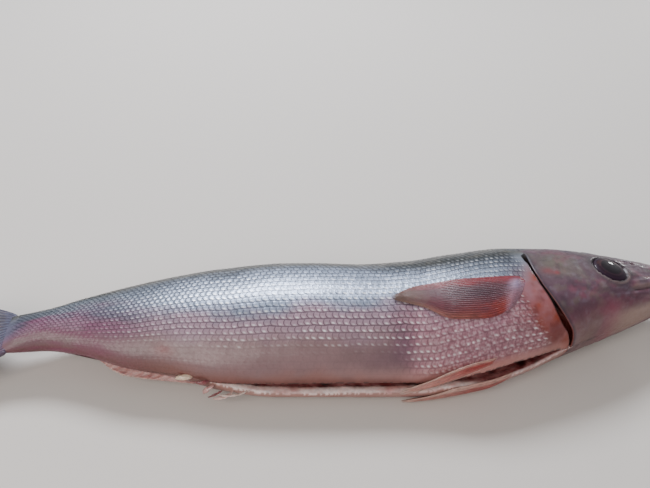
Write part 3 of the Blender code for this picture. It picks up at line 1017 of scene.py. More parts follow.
    def build_lining(self, points: Array) -> Piece:
        """Make the cut faces and the cavity's wall between the skin's two lips.

        Args:
            points: points of the skin, rows by columns.

        Returns:
            The lining, still open along both lips.
        """
        x = points[0, :, 0]
        inside = (x > self.sizes.slit_rear - 2.0) & (x < self.sizes.slit_front + 2.0)
        first, last = points[0][inside], points[-1][inside]
        wall = self.lining(first, last, (first[:, 0] + last[:, 0]) / 2)
        lining = grid_sheet("fish_lining", wall.shape[1], wall.shape[0])
        steps = np.arange(wall.shape[0])[:, None] + wall[..., 0] * 0.0
        shape_sheet(lining, wall, np.stack([wall[..., 0] / 3.0, steps], axis=-1))
        paint(lining, "skin_paint", LiningPaint().colours(wall))
        paint(lining, "skin_shine", np.zeros(wall.shape[:2] + (4,)))
        lining.data.materials.append(WetRawFlesh().make())
        return lining

    def close(self, skin: Piece) -> None:
        """Weld the skin and fill the small holes at the tail and the snout."""
        weld(skin)
        only_select(skin)
        bpy.ops.object.mode_set(mode="EDIT")
        bpy.ops.mesh.select_all(action="DESELECT")
        bpy.ops.mesh.select_mode(type="EDGE")
        bpy.ops.mesh.select_non_manifold(
            extend=False,
            use_wire=False,
            use_multi_face=False,
            use_non_contiguous=False,
            use_verts=False,
        )
        bpy.ops.mesh.edge_face_add()
        bpy.ops.mesh.select_all(action="SELECT")
        bpy.ops.mesh.normals_make_consistent(inside=False)
        bpy.ops.object.mode_set(mode="OBJECT")

    def build(self) -> Piece:
        """Make the skin and the inside of the cuts as one closed mesh.

        Returns:
            The finished body.
        """
        points, angles, uv, scaled = self.skin()
        points[:, -1] = (FORM.snout_end, *FORM.snout_middle)
        skin = grid_sheet("fish_body", points.shape[1], points.shape[0])
        shape_sheet(skin, points, uv)
        paint(skin, "skin_paint", SkinPaint().colours(points, angles, scaled, self))
        paint(skin, "skin_shine", SkinShine().strengths(points, angles, scaled))
        skin.data.materials.append(WetFishSkin().make())
        lining = self.build_lining(points)
        only_select(skin)
        lining.select_set(True)
        bpy.ops.object.join()
        self.close(skin)
        finish_piece(skin, "body")
        return skin


# ---------------------------------------------------------------- paint


def speckle(u: Array, v: Array, seed: float) -> Array:
    """Smooth random field with blotches one unit wide.

    Args:
        u: place along, in blotches.
        v: place across, in blotches.
        seed: number that picks the field.

    Returns:
        Values between 0 and 1.
    """

    def lattice(i: Array, j: Array) -> Array:
        """Random number of a lattice point."""
        raw = np.sin(i * 127.1 + j * 311.7 + seed * 74.7) * 43758.5453
        return raw - np.floor(raw)

    i, j = np.floor(u), np.floor(v)
    s, t = u - i, v - j
    s, t = s * s * (3 - 2 * s), t * t * (3 - 2 * t)
    low = lattice(i, j) * (1 - s) + lattice(i + 1, j) * s
    high = lattice(i, j + 1) * (1 - s) + lattice(i + 1, j + 1) * s
    return low * (1 - t) + high * t


def cloud(u: Array, v: Array, seed: float) -> Array:
    """Random field with broad and fine blotches, about 0 to 1."""
    total = speckle(u, v, seed) + 0.5 * speckle(u * 2.1, v * 2.1, seed + 3.0)
    return (total + 0.25 * speckle(u * 4.3, v * 4.3, seed + 7.0)) / 1.75


def plain(like: Array, code: str) -> Array:
    """Painted field of one hex colour, one colour for each value of an array."""
    return np.zeros(like.shape + (3,)) + linear(code)


def over(base: Array, code: str, share: Array) -> Array:
    """Lay a hex colour over a painted field by a share of 0 to 1."""
    share = np.clip(share, 0.0, 1.0)[..., None]
    return base * (1.0 - share) + linear(code) * share


def spot(a: Array, b: Array, place: Span, size: Span) -> Array:
    """Soft round patch, 1 in its middle, at a place and with a size along each direction."""
    return np.exp(-(((a - place[0]) / size[0]) ** 2 + ((b - place[1]) / size[1]) ** 2))


@dataclass(frozen=True)
class SkinMap:
    """Places and blotches of the skin that its colours follow."""

    x: Array  # place along the fish
    y: Array  # place across the fish
    turned: Array  # section angle, above zero on the right flank
    folded: Array  # section angle from the back edge
    drift: Array  # the same pulled unevenly, so that the flanks are not mirror images
    right: Array  # whether the place is on the right flank
    broad: Array  # blotches about 20 mm wide, -0.5 to 0.5
    fine: Array  # blotches about 6 mm wide, -0.5 to 0.5

    @classmethod
    def of(cls, points: Array, angles: Array) -> "SkinMap":
        """Work out the map of the skin.

        Args:
            points: places of the vertices.
            angles: their section angles.

        Returns:
            The map.
        """
        x, y = points[..., 0], points[..., 1]
        turned = half_turn(angles)
        folded = np.abs(turned)
        drift = folded + 24.0 * np.sin(np.radians(turned))
        broad = cloud(x / 22.0, drift / 17.0, 1.0) - 0.5
        fine = cloud(x / 6.0, drift / 6.0, 5.0) - 0.5
        return cls(x, y, turned, folded, drift, turned > 0.0, broad, fine)

    def band(self) -> Array:
        """Angle from the back edge with uneven borders, for the bands of the flank."""
        return self.folded + 16.0 * self.broad + 8.0 * self.fine

    def blotches(self, length: float, breadth: float, seed: float) -> Array:
        """Random blotches of a length in millimetres and a breadth in degrees."""
        return cloud(self.x / length, self.drift / breadth, seed)

    def patch(self, x: float, angle: float, length: float, breadth: float) -> Array:
        """Soft round patch at a place and an angle from the back, on both flanks."""
        return spot(self.x, self.folded, (x, angle), (length, breadth))

    def in_slit(self, rear: Span, front: Span) -> Array:
        """Share of the belly slit's length between two soft ends."""
        return rise(self.x, *rear) * (1.0 - rise(self.x, *front))


@dataclass(frozen=True)
class SkinPaint:
    """Colours of the skin: dark back, silver band, grey-mauve flank and reddened patches."""

    back: str = "#31383b"
    back_warm: str = "#514c3a"
    silver: str = "#98a5bb"
    lilac: str = "#a88c9a"
    lower: str = "#84696b"
    belly: str = "#6f4238"
    tail_magenta: str = "#782f5a"
    tail_grey: str = "#5e6078"
    front_pink: str = "#a57380"
    front_pale: str = "#d9bcc0"
    bruise: str = "#54364c"
    shoulder: str = "#843828"
    shoulder_deep: str = "#5c1a16"
    lobe_mauve: str = "#8f6470"
    head: str = "#573c49"
    head_top: str = "#393e4e"
    head_olive: str = "#6a6553"
    head_pink: str = "#7c4050"
    head_grey: str = "#8f8f9c"
    head_dark: str = "#33242f"
    # Painted shade for the gap between the eyeball and its socket.
    socket: str = "#1c1019"
    jaw_pale: str = "#9a8074"
    red_spot: str = "#8f2a33"
    # Painted shade inside the gill slit: blackish above, dark flesh red below.
    gill_shade: str = "#1a0608"
    gill_red: str = "#5c2019"
    flesh: str = "#b07d76"
    lower_lip: str = "#b8938b"
    lower_flap: str = "#8f6258"
    upper_lip: str = "#63302a"
    # Place along the fish and strength of the silver band.
    silver_strength: Table = (
        (-180.0, 0.15), (-130.0, 0.4), (-90.0, 0.8), (-40.0, 0.95), (0.0, 1.0), (35.0, 0.9),
        (60.0, 0.8), (98.0, 0.55),
    )
    # Column of the gill slit, from the shoulder to the cover, and how much painted shade it gets.
    gill_shade_strength: Table = (
        (-1.0, 0.0), (0.0, 0.25), (1.0, 0.8), (2.0, 1.0), (7.0, 1.0), (8.0, 0.6), (10.0, 0.0),
    )

    def flank(self, skin: SkinMap) -> Array:
        """Paint the bands from the dark back over silver and lilac to the belly.

        Args:
            skin: map of the skin.

        Returns:
            Colours.
        """
        band = skin.band()
        colour = plain(skin.x, self.back)
        colour = over(colour, self.back_warm, 0.6 * rise(skin.broad + skin.fine, -0.1, 0.5))
        bright = np.interp(skin.x, *zip(*self.silver_strength))
        dark_back = 16.0 * rise(skin.x, 10.0, 55.0)
        colour = over(colour, self.silver, bright * rise(band - dark_back, 46.0, 70.0))
        colour = over(colour, self.lilac, rise(band, 97.0, 115.0))
        colour = over(colour, self.lower, rise(band, 116.0, 140.0))
        return over(colour, self.belly, 0.8 * rise(band, 156.0, 178.0))

    def tail(self, colour: Array, skin: SkinMap) -> Array:
        """Redden the scales of the tail and turn its bare stalk blue-grey.

        Args:
            colour: colours so far.
            skin: map of the skin.

        Returns:
            New colours.
        """
        band = skin.band()
        tail = 1.0 - rise(skin.x, -150.0, -95.0)
        red = 0.62 * tail * rise(band, 68.0, 96.0) * (0.6 + skin.broad + skin.fine)
        colour = over(colour, self.tail_magenta, red)
        colour = over(colour, self.tail_magenta, 0.5 * skin.patch(-128.0, 118.0, 16.0, 16.0))
        stalk = 1.0 - rise(skin.x, -182.0, -168.0)
        middle = rise(band, 50.0, 80.0) * (1.0 - rise(band, 110.0, 140.0))
        return over(colour, self.tail_grey, 0.85 * stalk * middle)

    def front_belly(self, colour: Array, skin: SkinMap) -> Array:
        """Paint the pink and pale front belly and the bruises round it.

        Args:
            colour: colours so far.
            skin: map of the skin.

        Returns:
            New colours.
        """
        band, right = skin.band(), skin.right
        front = rise(skin.x + 14.0 * skin.broad, 16.0, 34.0)
        front = front * rise(band, 100.0, 116.0) * (1.0 - rise(band, 162.0, 178.0))
        pale = rise(skin.blotches(2.2, 2.7, 9.0), 0.46, 0.72)
        mauve = skin.patch(24.0, 133.0, 7.0, 21.0) + 0.5 * skin.patch(14.0, 150.0, 14.0, 14.0)
        colour = over(colour, self.front_pink, 0.75 * front)
        colour = over(colour, self.front_pale, 0.24 * front * pale)
        colour = over(colour, self.flesh, 0.45 * skin.patch(48.0, 168.0, 60.0, 9.0) * right)
        colour = over(colour, self.bruise, 0.62 * mauve * right)
        colour = over(colour, self.red_spot, 0.45 * skin.patch(-99.0, 146.0, 5.0, 7.0) * right)
        return over(colour, self.shoulder, 0.6 * skin.patch(68.0, 166.0, 26.0, 9.0) * right)

    def behind_gill(self, colour: Array, skin: SkinMap, bare: Array) -> Array:
        """Redden the bare shoulder behind the gill slit.

        Args:
            colour: colours so far.
            skin: map of the skin.
            bare: share of scaleless shoulder.

        Returns:
            New colours.
        """
        patch = 0.9 * skin.patch(96.0, 122.0, 12.0, 26.0) * skin.right
        red = np.clip(bare * rise(skin.folded, 76.0, 100.0) + patch, 0.0, 1.0) * (skin.x < 124.0)
        deep = rise(skin.blotches(5.0, 7.0, 4.0), 0.5, 0.75)
        low = skin.patch(104.0, 168.0, 9.0, 16.0) * skin.right
        colour = over(colour, self.shoulder, 0.95 * red * (0.85 + skin.fine))
        colour = over(colour, self.shoulder_deep, 0.55 * red * deep)
        lobe = skin.patch(93.0, 103.0, 4.5, 12.0) * skin.right
        colour = over(colour, self.lobe_mauve, 0.7 * lobe)
        return over(colour, self.shoulder_deep, 0.5 * low)

    def mottled_head(self, skin: SkinMap) -> Array:
        """Paint the dark top of the head and its pink, olive and grey blotches.

        Args:
            skin: map of the skin.

        Returns:
            Colours of the head, before its eye ring and jaws.
        """
        folded = skin.folded
        mottled = 0.3 + 0.7 * rise(folded, 30.0, 68.0)
        throat = rise(folded, 142.0, 164.0) * rise(skin.x, 112.0, 120.0)
        pink = rise(skin.blotches(7.0, 9.0, 12.0), 0.46, 0.72)
        olive = rise(skin.blotches(5.0, 7.0, 15.0), 0.48, 0.72)
        grey = rise(skin.blotches(2.6, 4.0, 17.0), 0.5, 0.75)
        dark = rise(skin.blotches(4.5, 6.5, 21.0), 0.48, 0.74)
        face = plain(skin.x, self.head)
        top = 1.0 - rise(folded + 14.0 * skin.broad, 44.0, 74.0)
        face = over(face, self.head_top, 0.9 * top)
        face = over(face, self.head_olive, 0.75 * skin.patch(118.0, 84.0, 12.0, 12.0))
        face = over(face, self.head_olive, 0.55 * throat)
        face = over(face, self.head_pink, 0.5 * mottled * pink)
        face = over(face, self.head_olive, 0.32 * mottled * olive)
        face = over(face, self.head_grey, 0.16 * mottled * grey)
        return over(face, self.head_dark, 0.42 * mottled * dark)

    def eye_and_cheek(self, face: Array, skin: SkinMap) -> Array:
        """Darken the skin round the eye, paint shade into the gap round the eyeball, and redden the
        cheek and two spots on the cover.

        Args:
            face: colours of the head so far.
            skin: map of the skin.

        Returns:
            New colours.
        """
        x, y = skin.x, skin.y
        ring = HEAD.from_eye(x, y)
        pale = hump(ring - 11.0, 0.6) * rise(-y, -4.0, 8.0)
        large = spot(x, y, (110.0, -5.5), (3.2, 2.4)) * skin.right
        small = spot(x, y, (115.0, -7.0), (1.7, 1.3)) * skin.right
        face = over(face, self.head_dark, 0.85 * (1.0 - rise(ring, 10.5, 17.0)))
        # Painted shade: near black in the socket's gap round the eyeball.
        face = over(face, self.socket, 0.9 * (1.0 - rise(ring, 9.9, 10.9)))
        face = over(face, self.jaw_pale, 0.35 * pale)
        face = over(face, self.head_pink, 0.8 * spot(x, y, (144.0, -25.5), (8.0, 4.5)))
        face = over(face, self.head_pink, 0.35 * rise(skin.folded, 128.0, 150.0))
        face = over(face, self.red_spot, 0.85 * small)
        return over(face, self.red_spot, 0.5 * large)

    def jaws_and_edge(self, face: Array, skin: SkinMap, edge: Array) -> Array:
        """Paint the lips, the pale throat and the dark rear edge of the gill cover.

        Args:
            face: colours of the head so far.
            skin: map of the skin.
            edge: place of the gill cover's rear edge.

        Returns:
            New colours.
        """
        x, folded = skin.x, skin.folded
        above = skin.y - HEAD.mouth_line(x)
        lip = rise(x, 158.0, 164.0)
        throat = rise(x, 135.0, 160.0) * rise(folded, 150.0, 172.0)
        rim = (1.0 - rise(x, edge + 0.4, edge + 2.6)) * rise(folded, 60.0, 72.0)
        face = over(face, self.jaw_pale, 0.4 * lip * hump(above - 1.2, 1.1))
        face = over(face, self.head_dark, 0.9 * lip * hump(above, 0.6))
        face = over(face, self.jaw_pale, 0.7 * throat)
        face = over(face, self.head_dark, 0.8 * rim)
        return face * (1.0 - 0.22 * (1.0 - rise(folded, 84.0, 108.0)))[..., None]

    def with_head(self, colour: Array, skin: SkinMap, edge: Array) -> Array:
        """Blend the head into the trunk, sharply at the gill slit and softly at the nape.

        Args:
            colour: colours of the trunk.
            skin: map of the skin.
            edge: place of the gill cover's rear edge.

        Returns:
            New colours.
        """
        face = self.eye_and_cheek(self.mottled_head(skin), skin)
        face = self.jaws_and_edge(face, skin, edge)
        nape = 0.6 + 11.0 * (1.0 - rise(skin.folded, 50.0, 68.0))
        head = rise(skin.x, edge - nape, edge + nape)[..., None]
        return colour * (1.0 - head) + face * head

    def shaded_gill_depths(self, colour: Array, skin: SkinMap, opened: Array, first_column: int) -> Array:
        """Paint shade into the inside of the gill slit, blackish above and turning to the dark red
        of the flesh below.

        Args:
            colour: colours so far.
            skin: map of the skin.
            opened: how open the slit is.
            first_column: number of the slit's first column.

        Returns:
            New colours.
        """
        step = np.arange(skin.x.shape[1]) - first_column
        deep = np.interp(step, *zip(*self.gill_shade_strength))[None, :]
        deep = (deep * opened * rise(skin.folded, 64.0, 70.0))[..., None]
        low = rise(skin.folded, 120.0, 150.0)[..., None]
        hollow = linear(self.gill_shade) * (1.0 - low) + linear(self.gill_red) * low
        return colour * (1.0 - deep) + hollow * deep

    def slit_edges(self, colour: Array, skin: SkinMap) -> Array:
        """Paint the skin beside the belly slit: pale lips, and brown above the rear part.

        Args:
            colour: colours so far.
            skin: map of the skin.

        Returns:
            New colours.
        """
        x, right = skin.x, skin.right
        row = np.arange(x.shape[0])
        from_lip = np.minimum(row, x.shape[0] - 1 - row)[:, None] + 3.0 * skin.fine
        in_slit = skin.in_slit((-80.0, -70.0), (112.0, 119.0))
        lip = in_slit * (1.0 - rise(from_lip, 1.0, 5.0))
        above_lip = in_slit * right * (1.0 - rise(from_lip, 0.5, 4.0))
        flap = in_slit * (~right) * rise(skin.folded, 138.0, 160.0)
        colour = over(colour, self.lower_lip, 0.85 * lip * ~right)
        colour = over(colour, self.upper_lip, 0.55 * above_lip * (1.0 - rise(x, 20.0, 45.0)))
        colour = over(colour, self.flesh, 0.6 * lip * right * rise(x, 25.0, 50.0))
        return over(colour, self.lower_flap, 0.6 * flap * (0.8 + skin.fine))

    def colours(self, points: Array, angles: Array, scaled: Array, body: FishBody) -> Array:
        """Paint the whole skin.

        Args:
            points: places of the vertices.
            angles: section angles.
            scaled: strength of the scales.
            body: the body, which knows its gill slit and shoulder.

        Returns:
            Linear colours, with the strength of the scales as a fourth value.
        """
        skin = SkinMap.of(points, angles)
        colour = self.tail(self.flank(skin), skin)
        colour = self.front_belly(colour, skin)
        colour = self.behind_gill(colour, skin, body.shoulder(skin.x, angles))
        colour = self.with_head(colour, skin, body.gill_edge(skin.folded))
        colour = self.shaded_gill_depths(colour, skin, body.gill_open(angles), len(body.trunk))
        colour = self.slit_edges(colour, skin)
        tail_dark = 0.17 * (1.0 - rise(skin.x, -112.0, -88.0)) * rise(skin.folded, 88.0, 110.0)
        uneven = (1.0 + 0.22 * skin.broad + 0.26 * skin.fine) * (1.0 - tail_dark)
        colour = np.clip(colour * uneven[..., None], 0.0, 1.0)
        return np.concatenate([colour, scaled[..., None]], axis=-1)


@dataclass(frozen=True)
class SkinShine:
    """Where the scales get painted white glints, where they are silvery, where their dark rims carry
    painted shade, and where they lie in a pale mosaic.
    """

    front: Span = (15.0, 40.0)
    tail: Span = (-150.0, -80.0)
    mosaic_start: Span = (24.0, 50.0)
    tail_glint: float = 0.15
    tail_silver: float = 0.3
    mosaic_cover: float = 0.35

    def strengths(self, points: Array, angles: Array, scaled: Array) -> Array:
        """Work out the four strengths over the skin.

        Args:
            points: places of the vertices.
            angles: section angles.
            scaled: strength of the scales.

        Returns:
            Strengths of painted glints, silver, rims with their painted shade, and mosaic.
        """
        skin = SkinMap.of(points, angles)
        folded = skin.folded
        front = rise(skin.x, *self.front)
        tail = 1.0 - rise(skin.x, *self.tail)
        patches = np.clip(0.45 + 1.3 * (skin.blotches(20.0, 13.0, 31.0) - 0.35), 0.0, 1.0)
        # Strength of the painted highlights: white glints on the upper flank, few on the tail.
        low_end = 1.0 - rise(folded, 122.0 + 34.0 * front, 146.0 + 30.0 * front)
        painted_glint = rise(folded, 50.0, 80.0) * low_end * (1.0 - (1.0 - self.tail_glint) * tail)
        silver = rise(folded, 48.0, 70.0) * (1.0 - rise(folded, 98.0, 128.0))
        silver = silver * (1.0 - (1.0 - self.tail_silver) * tail)
        # Strength of the scale rims and their painted shade, weaker on the silver band and the lower
        # flank.
        low = rise(folded, 118.0, 142.0) * (1.0 - 0.7 * front)
        rim = 1.0 - 0.25 * rise(folded, 66.0, 92.0) - 0.66 * low
        mosaic = rise(skin.x, *self.mosaic_start) * rise(folded, 102.0, 118.0)
        mosaic = mosaic * (1.0 - rise(folded, 164.0, 178.0)) * skin.right * scaled
        brick = scaled * (1.0 - self.mosaic_cover * mosaic)
        return np.stack([painted_glint * patches * brick, silver * scaled, rim * brick, mosaic], axis=-1)


@dataclass(frozen=True)
class LiningPaint:
    """Colours of the cut faces and of the cavity's wall, from the upper lip to the lower, with
    painted shade in the cavity, a painted shadow under the upper flap and painted wet highlights on
    the cut.
    """

    red: str = "#6a2a2a"
    pink: str = "#8c5a58"
    clot: str = "#2a0c0c"
    # Painted shade for the middle of the cavity's wall.
    deep: str = "#240a0a"
    cut_pale: str = "#cba59f"
    # Whiter streaks of the cut faces: partly pale flesh, partly painted wet highlights.
    cut_white_and_wet_highlight: str = "#ead8d3"
    cut_red: str = "#a2423f"
    # Painted shadow: the dark line under the upper flap's edge.
    under_flap_shadow: str = "#2c0e0d"

    def colours(self, wall: Array) -> Array:
        """Paint the lining.

        Args:
            wall: points of the lining, steps by columns.

        Returns:
            Linear colours.
        """
        x = wall[..., 0]
        last = wall.shape[0] - 1
        steps = np.arange(wall.shape[0])[:, None] + x * 0.0
        blotch = cloud(x / 9.0, steps / 5.0, 2.0) - 0.5
        fine = cloud(x / 2.4, steps / 1.7, 6.0) - 0.5
        streak = cloud(x / 8.0, steps / 1.1, 6.0) - 0.5
        middle = rise(steps, 2.5, 6.0) * (1.0 - rise(steps, last - 9.0, last - 6.0))
        from_lower = last - steps + 1.5 * streak + 2.2 * rise(x, 48.0, 70.0)
        pale = 1.0 - rise(from_lower, 2.6, 4.2)
        bloody = rise(cloud(x / 13.0, steps / 9.0, 8.0), 0.52, 0.7)
        colour = over(plain(x, self.red), self.pink, rise(blotch + fine, -0.1, 0.35))
        colour = over(colour, self.clot, rise(-blotch, 0.0, 0.25))
        # Painted shade deep inside the cavity.
        colour = over(colour, self.deep, 0.55 * middle)
        colour = over(colour, self.cut_pale, pale)
        # Whiter streaks: partly pale flesh, partly painted wet highlights.
        colour = over(colour, self.cut_white_and_wet_highlight, 0.85 * pale * rise(streak, -0.25, 0.15))
        colour = over(colour, self.cut_red, 0.35 * pale * bloody)
        # Painted shadow: the dark line under the upper flap's edge.
        colour = over(colour, self.under_flap_shadow, 1.0 - rise(steps + 2.0 * fine, 1.2, 3.6))
        return np.clip(colour * (1.0 + 0.18 * fine)[..., None], 0.0, 1.0)


# ---------------------------------------------------------------- materials


@dataclass(frozen=True)
class WetFishSkin:
    """Wet fish skin: thin horny scales in overlapping rows under a film of slime.

    The eye sees a dark rim round each scale, its own dark edge with painted shade in the gaps
    between scales, a silver sheen, small white glints on single scales that are painted
    highlights, and a soft watery gloss over all of it.
    """

    # Dark of the scale rims: the scales' own dark edges and painted shade between the scales.
    rim_and_gap_shade_tint: str = "#4d444e"
    # White of the painted highlights: short glints painted on single scales.
    painted_glint: str = "#ffffff"
    mosaic_pale: str = "#dcc6ce"
    mosaic_gap: str = "#5c2f3c"
    cells_per_metre: float = 620.0  # patches of the mosaic, 1.6 mm wide
    slime_per_metre: float = 520.0  # ripples of the slime, 2 mm wide
    slime_detail: float = 4.0
    slime_roughness: float = 0.6
    relief: float = 0.00022  # metres
    relief_strength: float = 0.55
    silver_metal: float = 0.45
    gloss: Span = (0.3, 0.46)
    bare_dullness: float = 0.18
    specular: float = 0.5
    coat: float = 0.18
    coat_roughness: float = 0.2
    water_ior: float = 1.36

    def scale_places(self, tree: Tree) -> dict[str, Socket]:
        """Find the scale at each place, the same way as ScalePattern.covering.

        Args:
            tree: the material's node tree.

        Returns:
            Sockets: the distance to the scale's rear edge, the distance from the row's middle
            line with and without its sign, and a random number of each scale.
        """
        place = add_node(tree, "ShaderNodeUVMap", {"uv_map": "pattern"})
        split = add_node(tree, "ShaderNodeSeparateXYZ", None, {0: place.outputs[0]})
        along, around = split.outputs[0], split.outputs[1]
        row = calculate(tree, "ROUND", around)
        offset = calculate(tree, "SUBTRACT", around, row)
        shift = calculate(tree, "MULTIPLY", calculate(tree, "FLOORED_MODULO", row, 2.0), 0.5)
        square = calculate(tree, "MULTIPLY", offset, offset)
        curve = calculate(tree, "MULTIPLY", square, SCALES.roundness)
        moved = calculate(tree, "ADD", calculate(tree, "SUBTRACT", along, shift), curve)
        number = calculate(tree, "CEIL", moved)
        key = add_node(tree, "ShaderNodeCombineXYZ", None, {0: number, 1: row})
        chance = add_node(
            tree, "ShaderNodeTexWhiteNoise", {"noise_dimensions": "2D"}, {0: key.outputs[0]}
        )
        return {
            "to_edge": calculate(tree, "SUBTRACT", number, moved),
            "offset": offset,
            "off_middle": calculate(tree, "ABSOLUTE", offset),
            "chance": chance.outputs[0],
        }

    def scale_rims_and_gap_shade(
        self,
        tree: Tree,
        scale: dict[str, Socket],
        painted: Socket,
        rim_and_gap_shading: Socket,
    ) -> Socket:
        """Give each scale its own tone and a dark rim: its own dark edge, with painted shade in the
        gaps between the scales.

        Args:
            tree: the material's node tree.
            scale: sockets of scale_places.
            painted: colour of the skin.
            rim_and_gap_shading: strength of the rims.

        Returns:
            Colour socket.
        """
        # Painted shade at each scale's rear edge and between the rows, over the scales' own dark
        # edges.
        rear = remap(tree, scale["to_edge"], 0.02, 0.3, 0.95, 0.0)
        between = remap(tree, scale["off_middle"], 0.32, 0.5, 0.0, 1.0)
        dark = calculate(tree, "MULTIPLY", calculate(tree, "MAXIMUM", rear, between), rim_and_gap_shading)
        tone = remap(tree, scale["chance"], 0.0, 1.0, 0.88, 1.14)
        toned = blend_colours(tree, 1.0, painted, tone, "MULTIPLY")
        base = blend_colours(tree, rim_and_gap_shading, painted, toned)
        darker = blend_colours(tree, 1.0, base, linear_rgba(self.rim_and_gap_shade_tint), "MULTIPLY")
        return blend_colours(tree, dark, base, darker)

    def painted_scale_glints(self, tree: Tree, scale: dict[str, Socket], glinting: Socket) -> Socket:
        """Find the painted highlight: a short white dash on the upper half of each lucky scale.

        Args:
            tree: the material's node tree.
            scale: sockets of scale_places.
            glinting: strength of the glints.

        Returns:
            Strength socket.
        """
        low = remap(tree, scale["offset"], -0.44, -0.26, 0.0, 1.0)
        high = remap(tree, scale["offset"], -0.24, 0.02, 1.0, 0.0)
        rear = remap(tree, scale["to_edge"], 0.16, 0.46, 0.0, 1.0)
        front = remap(tree, scale["to_edge"], 0.56, 0.86, 1.0, 0.0)
        across = calculate(tree, "MULTIPLY", low, high)
        dash = calculate(tree, "MULTIPLY", across, calculate(tree, "MULTIPLY", rear, front))
        lucky = remap(tree, scale["chance"], 0.1, 0.8, 0.25, 1.0)
        return calculate(tree, "MULTIPLY", calculate(tree, "MULTIPLY", dash, lucky), glinting)

    def mosaic(self, tree: Tree, place: Socket, colour: Socket, share: Socket) -> Socket:
        """Lay the front belly's pale cells and reddish gaps over a colour.

        Args:
            tree: the material's node tree.
            place: Object coordinates.
            colour: colour below.
            share: strength of the mosaic.

        Returns:
            Colour socket.
        """
        cells = add_node(
            tree, "ShaderNodeTexVoronoi", None, {"Vector": place, "Scale": self.cells_per_metre}
        )
        far = cells.outputs["Distance"]
        pale = calculate(tree, "MULTIPLY", remap(tree, far, 0.1, 0.55, 0.2, 0.0), share)
        gaps = calculate(tree, "MULTIPLY", remap(tree, far, 0.42, 0.75, 0.0, 0.34), share)
        spotted = blend_colours(tree, pale, colour, linear_rgba(self.mosaic_pale))
        return blend_colours(tree, gaps, spotted, linear_rgba(self.mosaic_gap))

    def surface(
        self,
        tree: Tree,
        shader: Node,
        scale: dict[str, Socket],
        place: Socket,
        scaled: Socket,
    ) -> None:
        """Set the skin's fine relief and gloss: duller where it has no scales.

        Args:
            tree: the material's node tree.
            shader: the Principled shader.
            scale: sockets of scale_places.
            place: Object coordinates.
            scaled: strength of the scales.
        """
        ripples = {"Scale": self.slime_per_metre, "Detail": self.slime_detail}
        ripples |= {"Roughness": self.slime_roughness, "Vector": place}
        slime = add_node(tree, "ShaderNodeTexNoise", None, ripples).outputs[0]
        to_edge = calculate(tree, "SUBTRACT", 1.0, scale["to_edge"])
        ramp = calculate(tree, "MULTIPLY", to_edge, scaled)
        crown = remap(tree, scale["off_middle"], 0.2, 0.5, 1.0, 0.25)
        shaped = calculate(tree, "MULTIPLY", ramp, crown)
        height = calculate(tree, "ADD", shaped, calculate(tree, "MULTIPLY", slime, 0.5))
        press(tree, shader, height, self.relief_strength, self.relief)
        bare = calculate(tree, "SUBTRACT", 1.0, scaled)
        duller = calculate(tree, "MULTIPLY", bare, self.bare_dullness)
        rough = calculate(tree, "ADD", remap(tree, slime, 0.35, 0.7, *self.gloss), duller)
        tree.links.new(rough, shader.inputs["Roughness"])

    def make(self) -> Material:
        """Make the material.

        Returns:
            The material, which reads the attributes skin_paint and skin_shine and the map.
        """
        material, tree, shader = new_material("wet fish skin")
        painted = add_node(tree, "ShaderNodeAttribute", {"attribute_name": "skin_paint"})
        shine = add_node(tree, "ShaderNodeAttribute", {"attribute_name": "skin_shine"})
        parts = add_node(tree, "ShaderNodeSeparateColor", None, {0: shine.outputs["Color"]})
        glinting, silvery, rim_and_gap_shading = parts.outputs[0], parts.outputs[1], parts.outputs[2]
        place = add_node(tree, "ShaderNodeTexCoord").outputs["Object"]
        scale = self.scale_places(tree)
        rimmed_and_shaded = self.scale_rims_and_gap_shade(tree, scale, painted.outputs["Color"], rim_and_gap_shading)
        # Painted highlights: white glints laid into the base colour of single scales.
        painted_glint = self.painted_scale_glints(tree, scale, glinting)
        with_painted_glints = blend_colours(tree, painted_glint, rimmed_and_shaded, linear_rgba(self.painted_glint))
        final = self.mosaic(tree, place, with_painted_glints, shine.outputs["Alpha"])
        tree.links.new(final, shader.inputs["Base Color"])
        self.surface(tree, shader, scale, place, painted.outputs["Alpha"])
        metal = calculate(tree, "MULTIPLY", silvery, self.silver_metal)
        tree.links.new(metal, shader.inputs["Metallic"])
        shader.inputs["Specular IOR Level"].default_value = self.specular
        shader.inputs["Coat Weight"].default_value = self.coat
        shader.inputs["Coat Roughness"].default_value = self.coat_roughness
        shader.inputs["Coat IOR"].default_value = self.water_ior
        return material


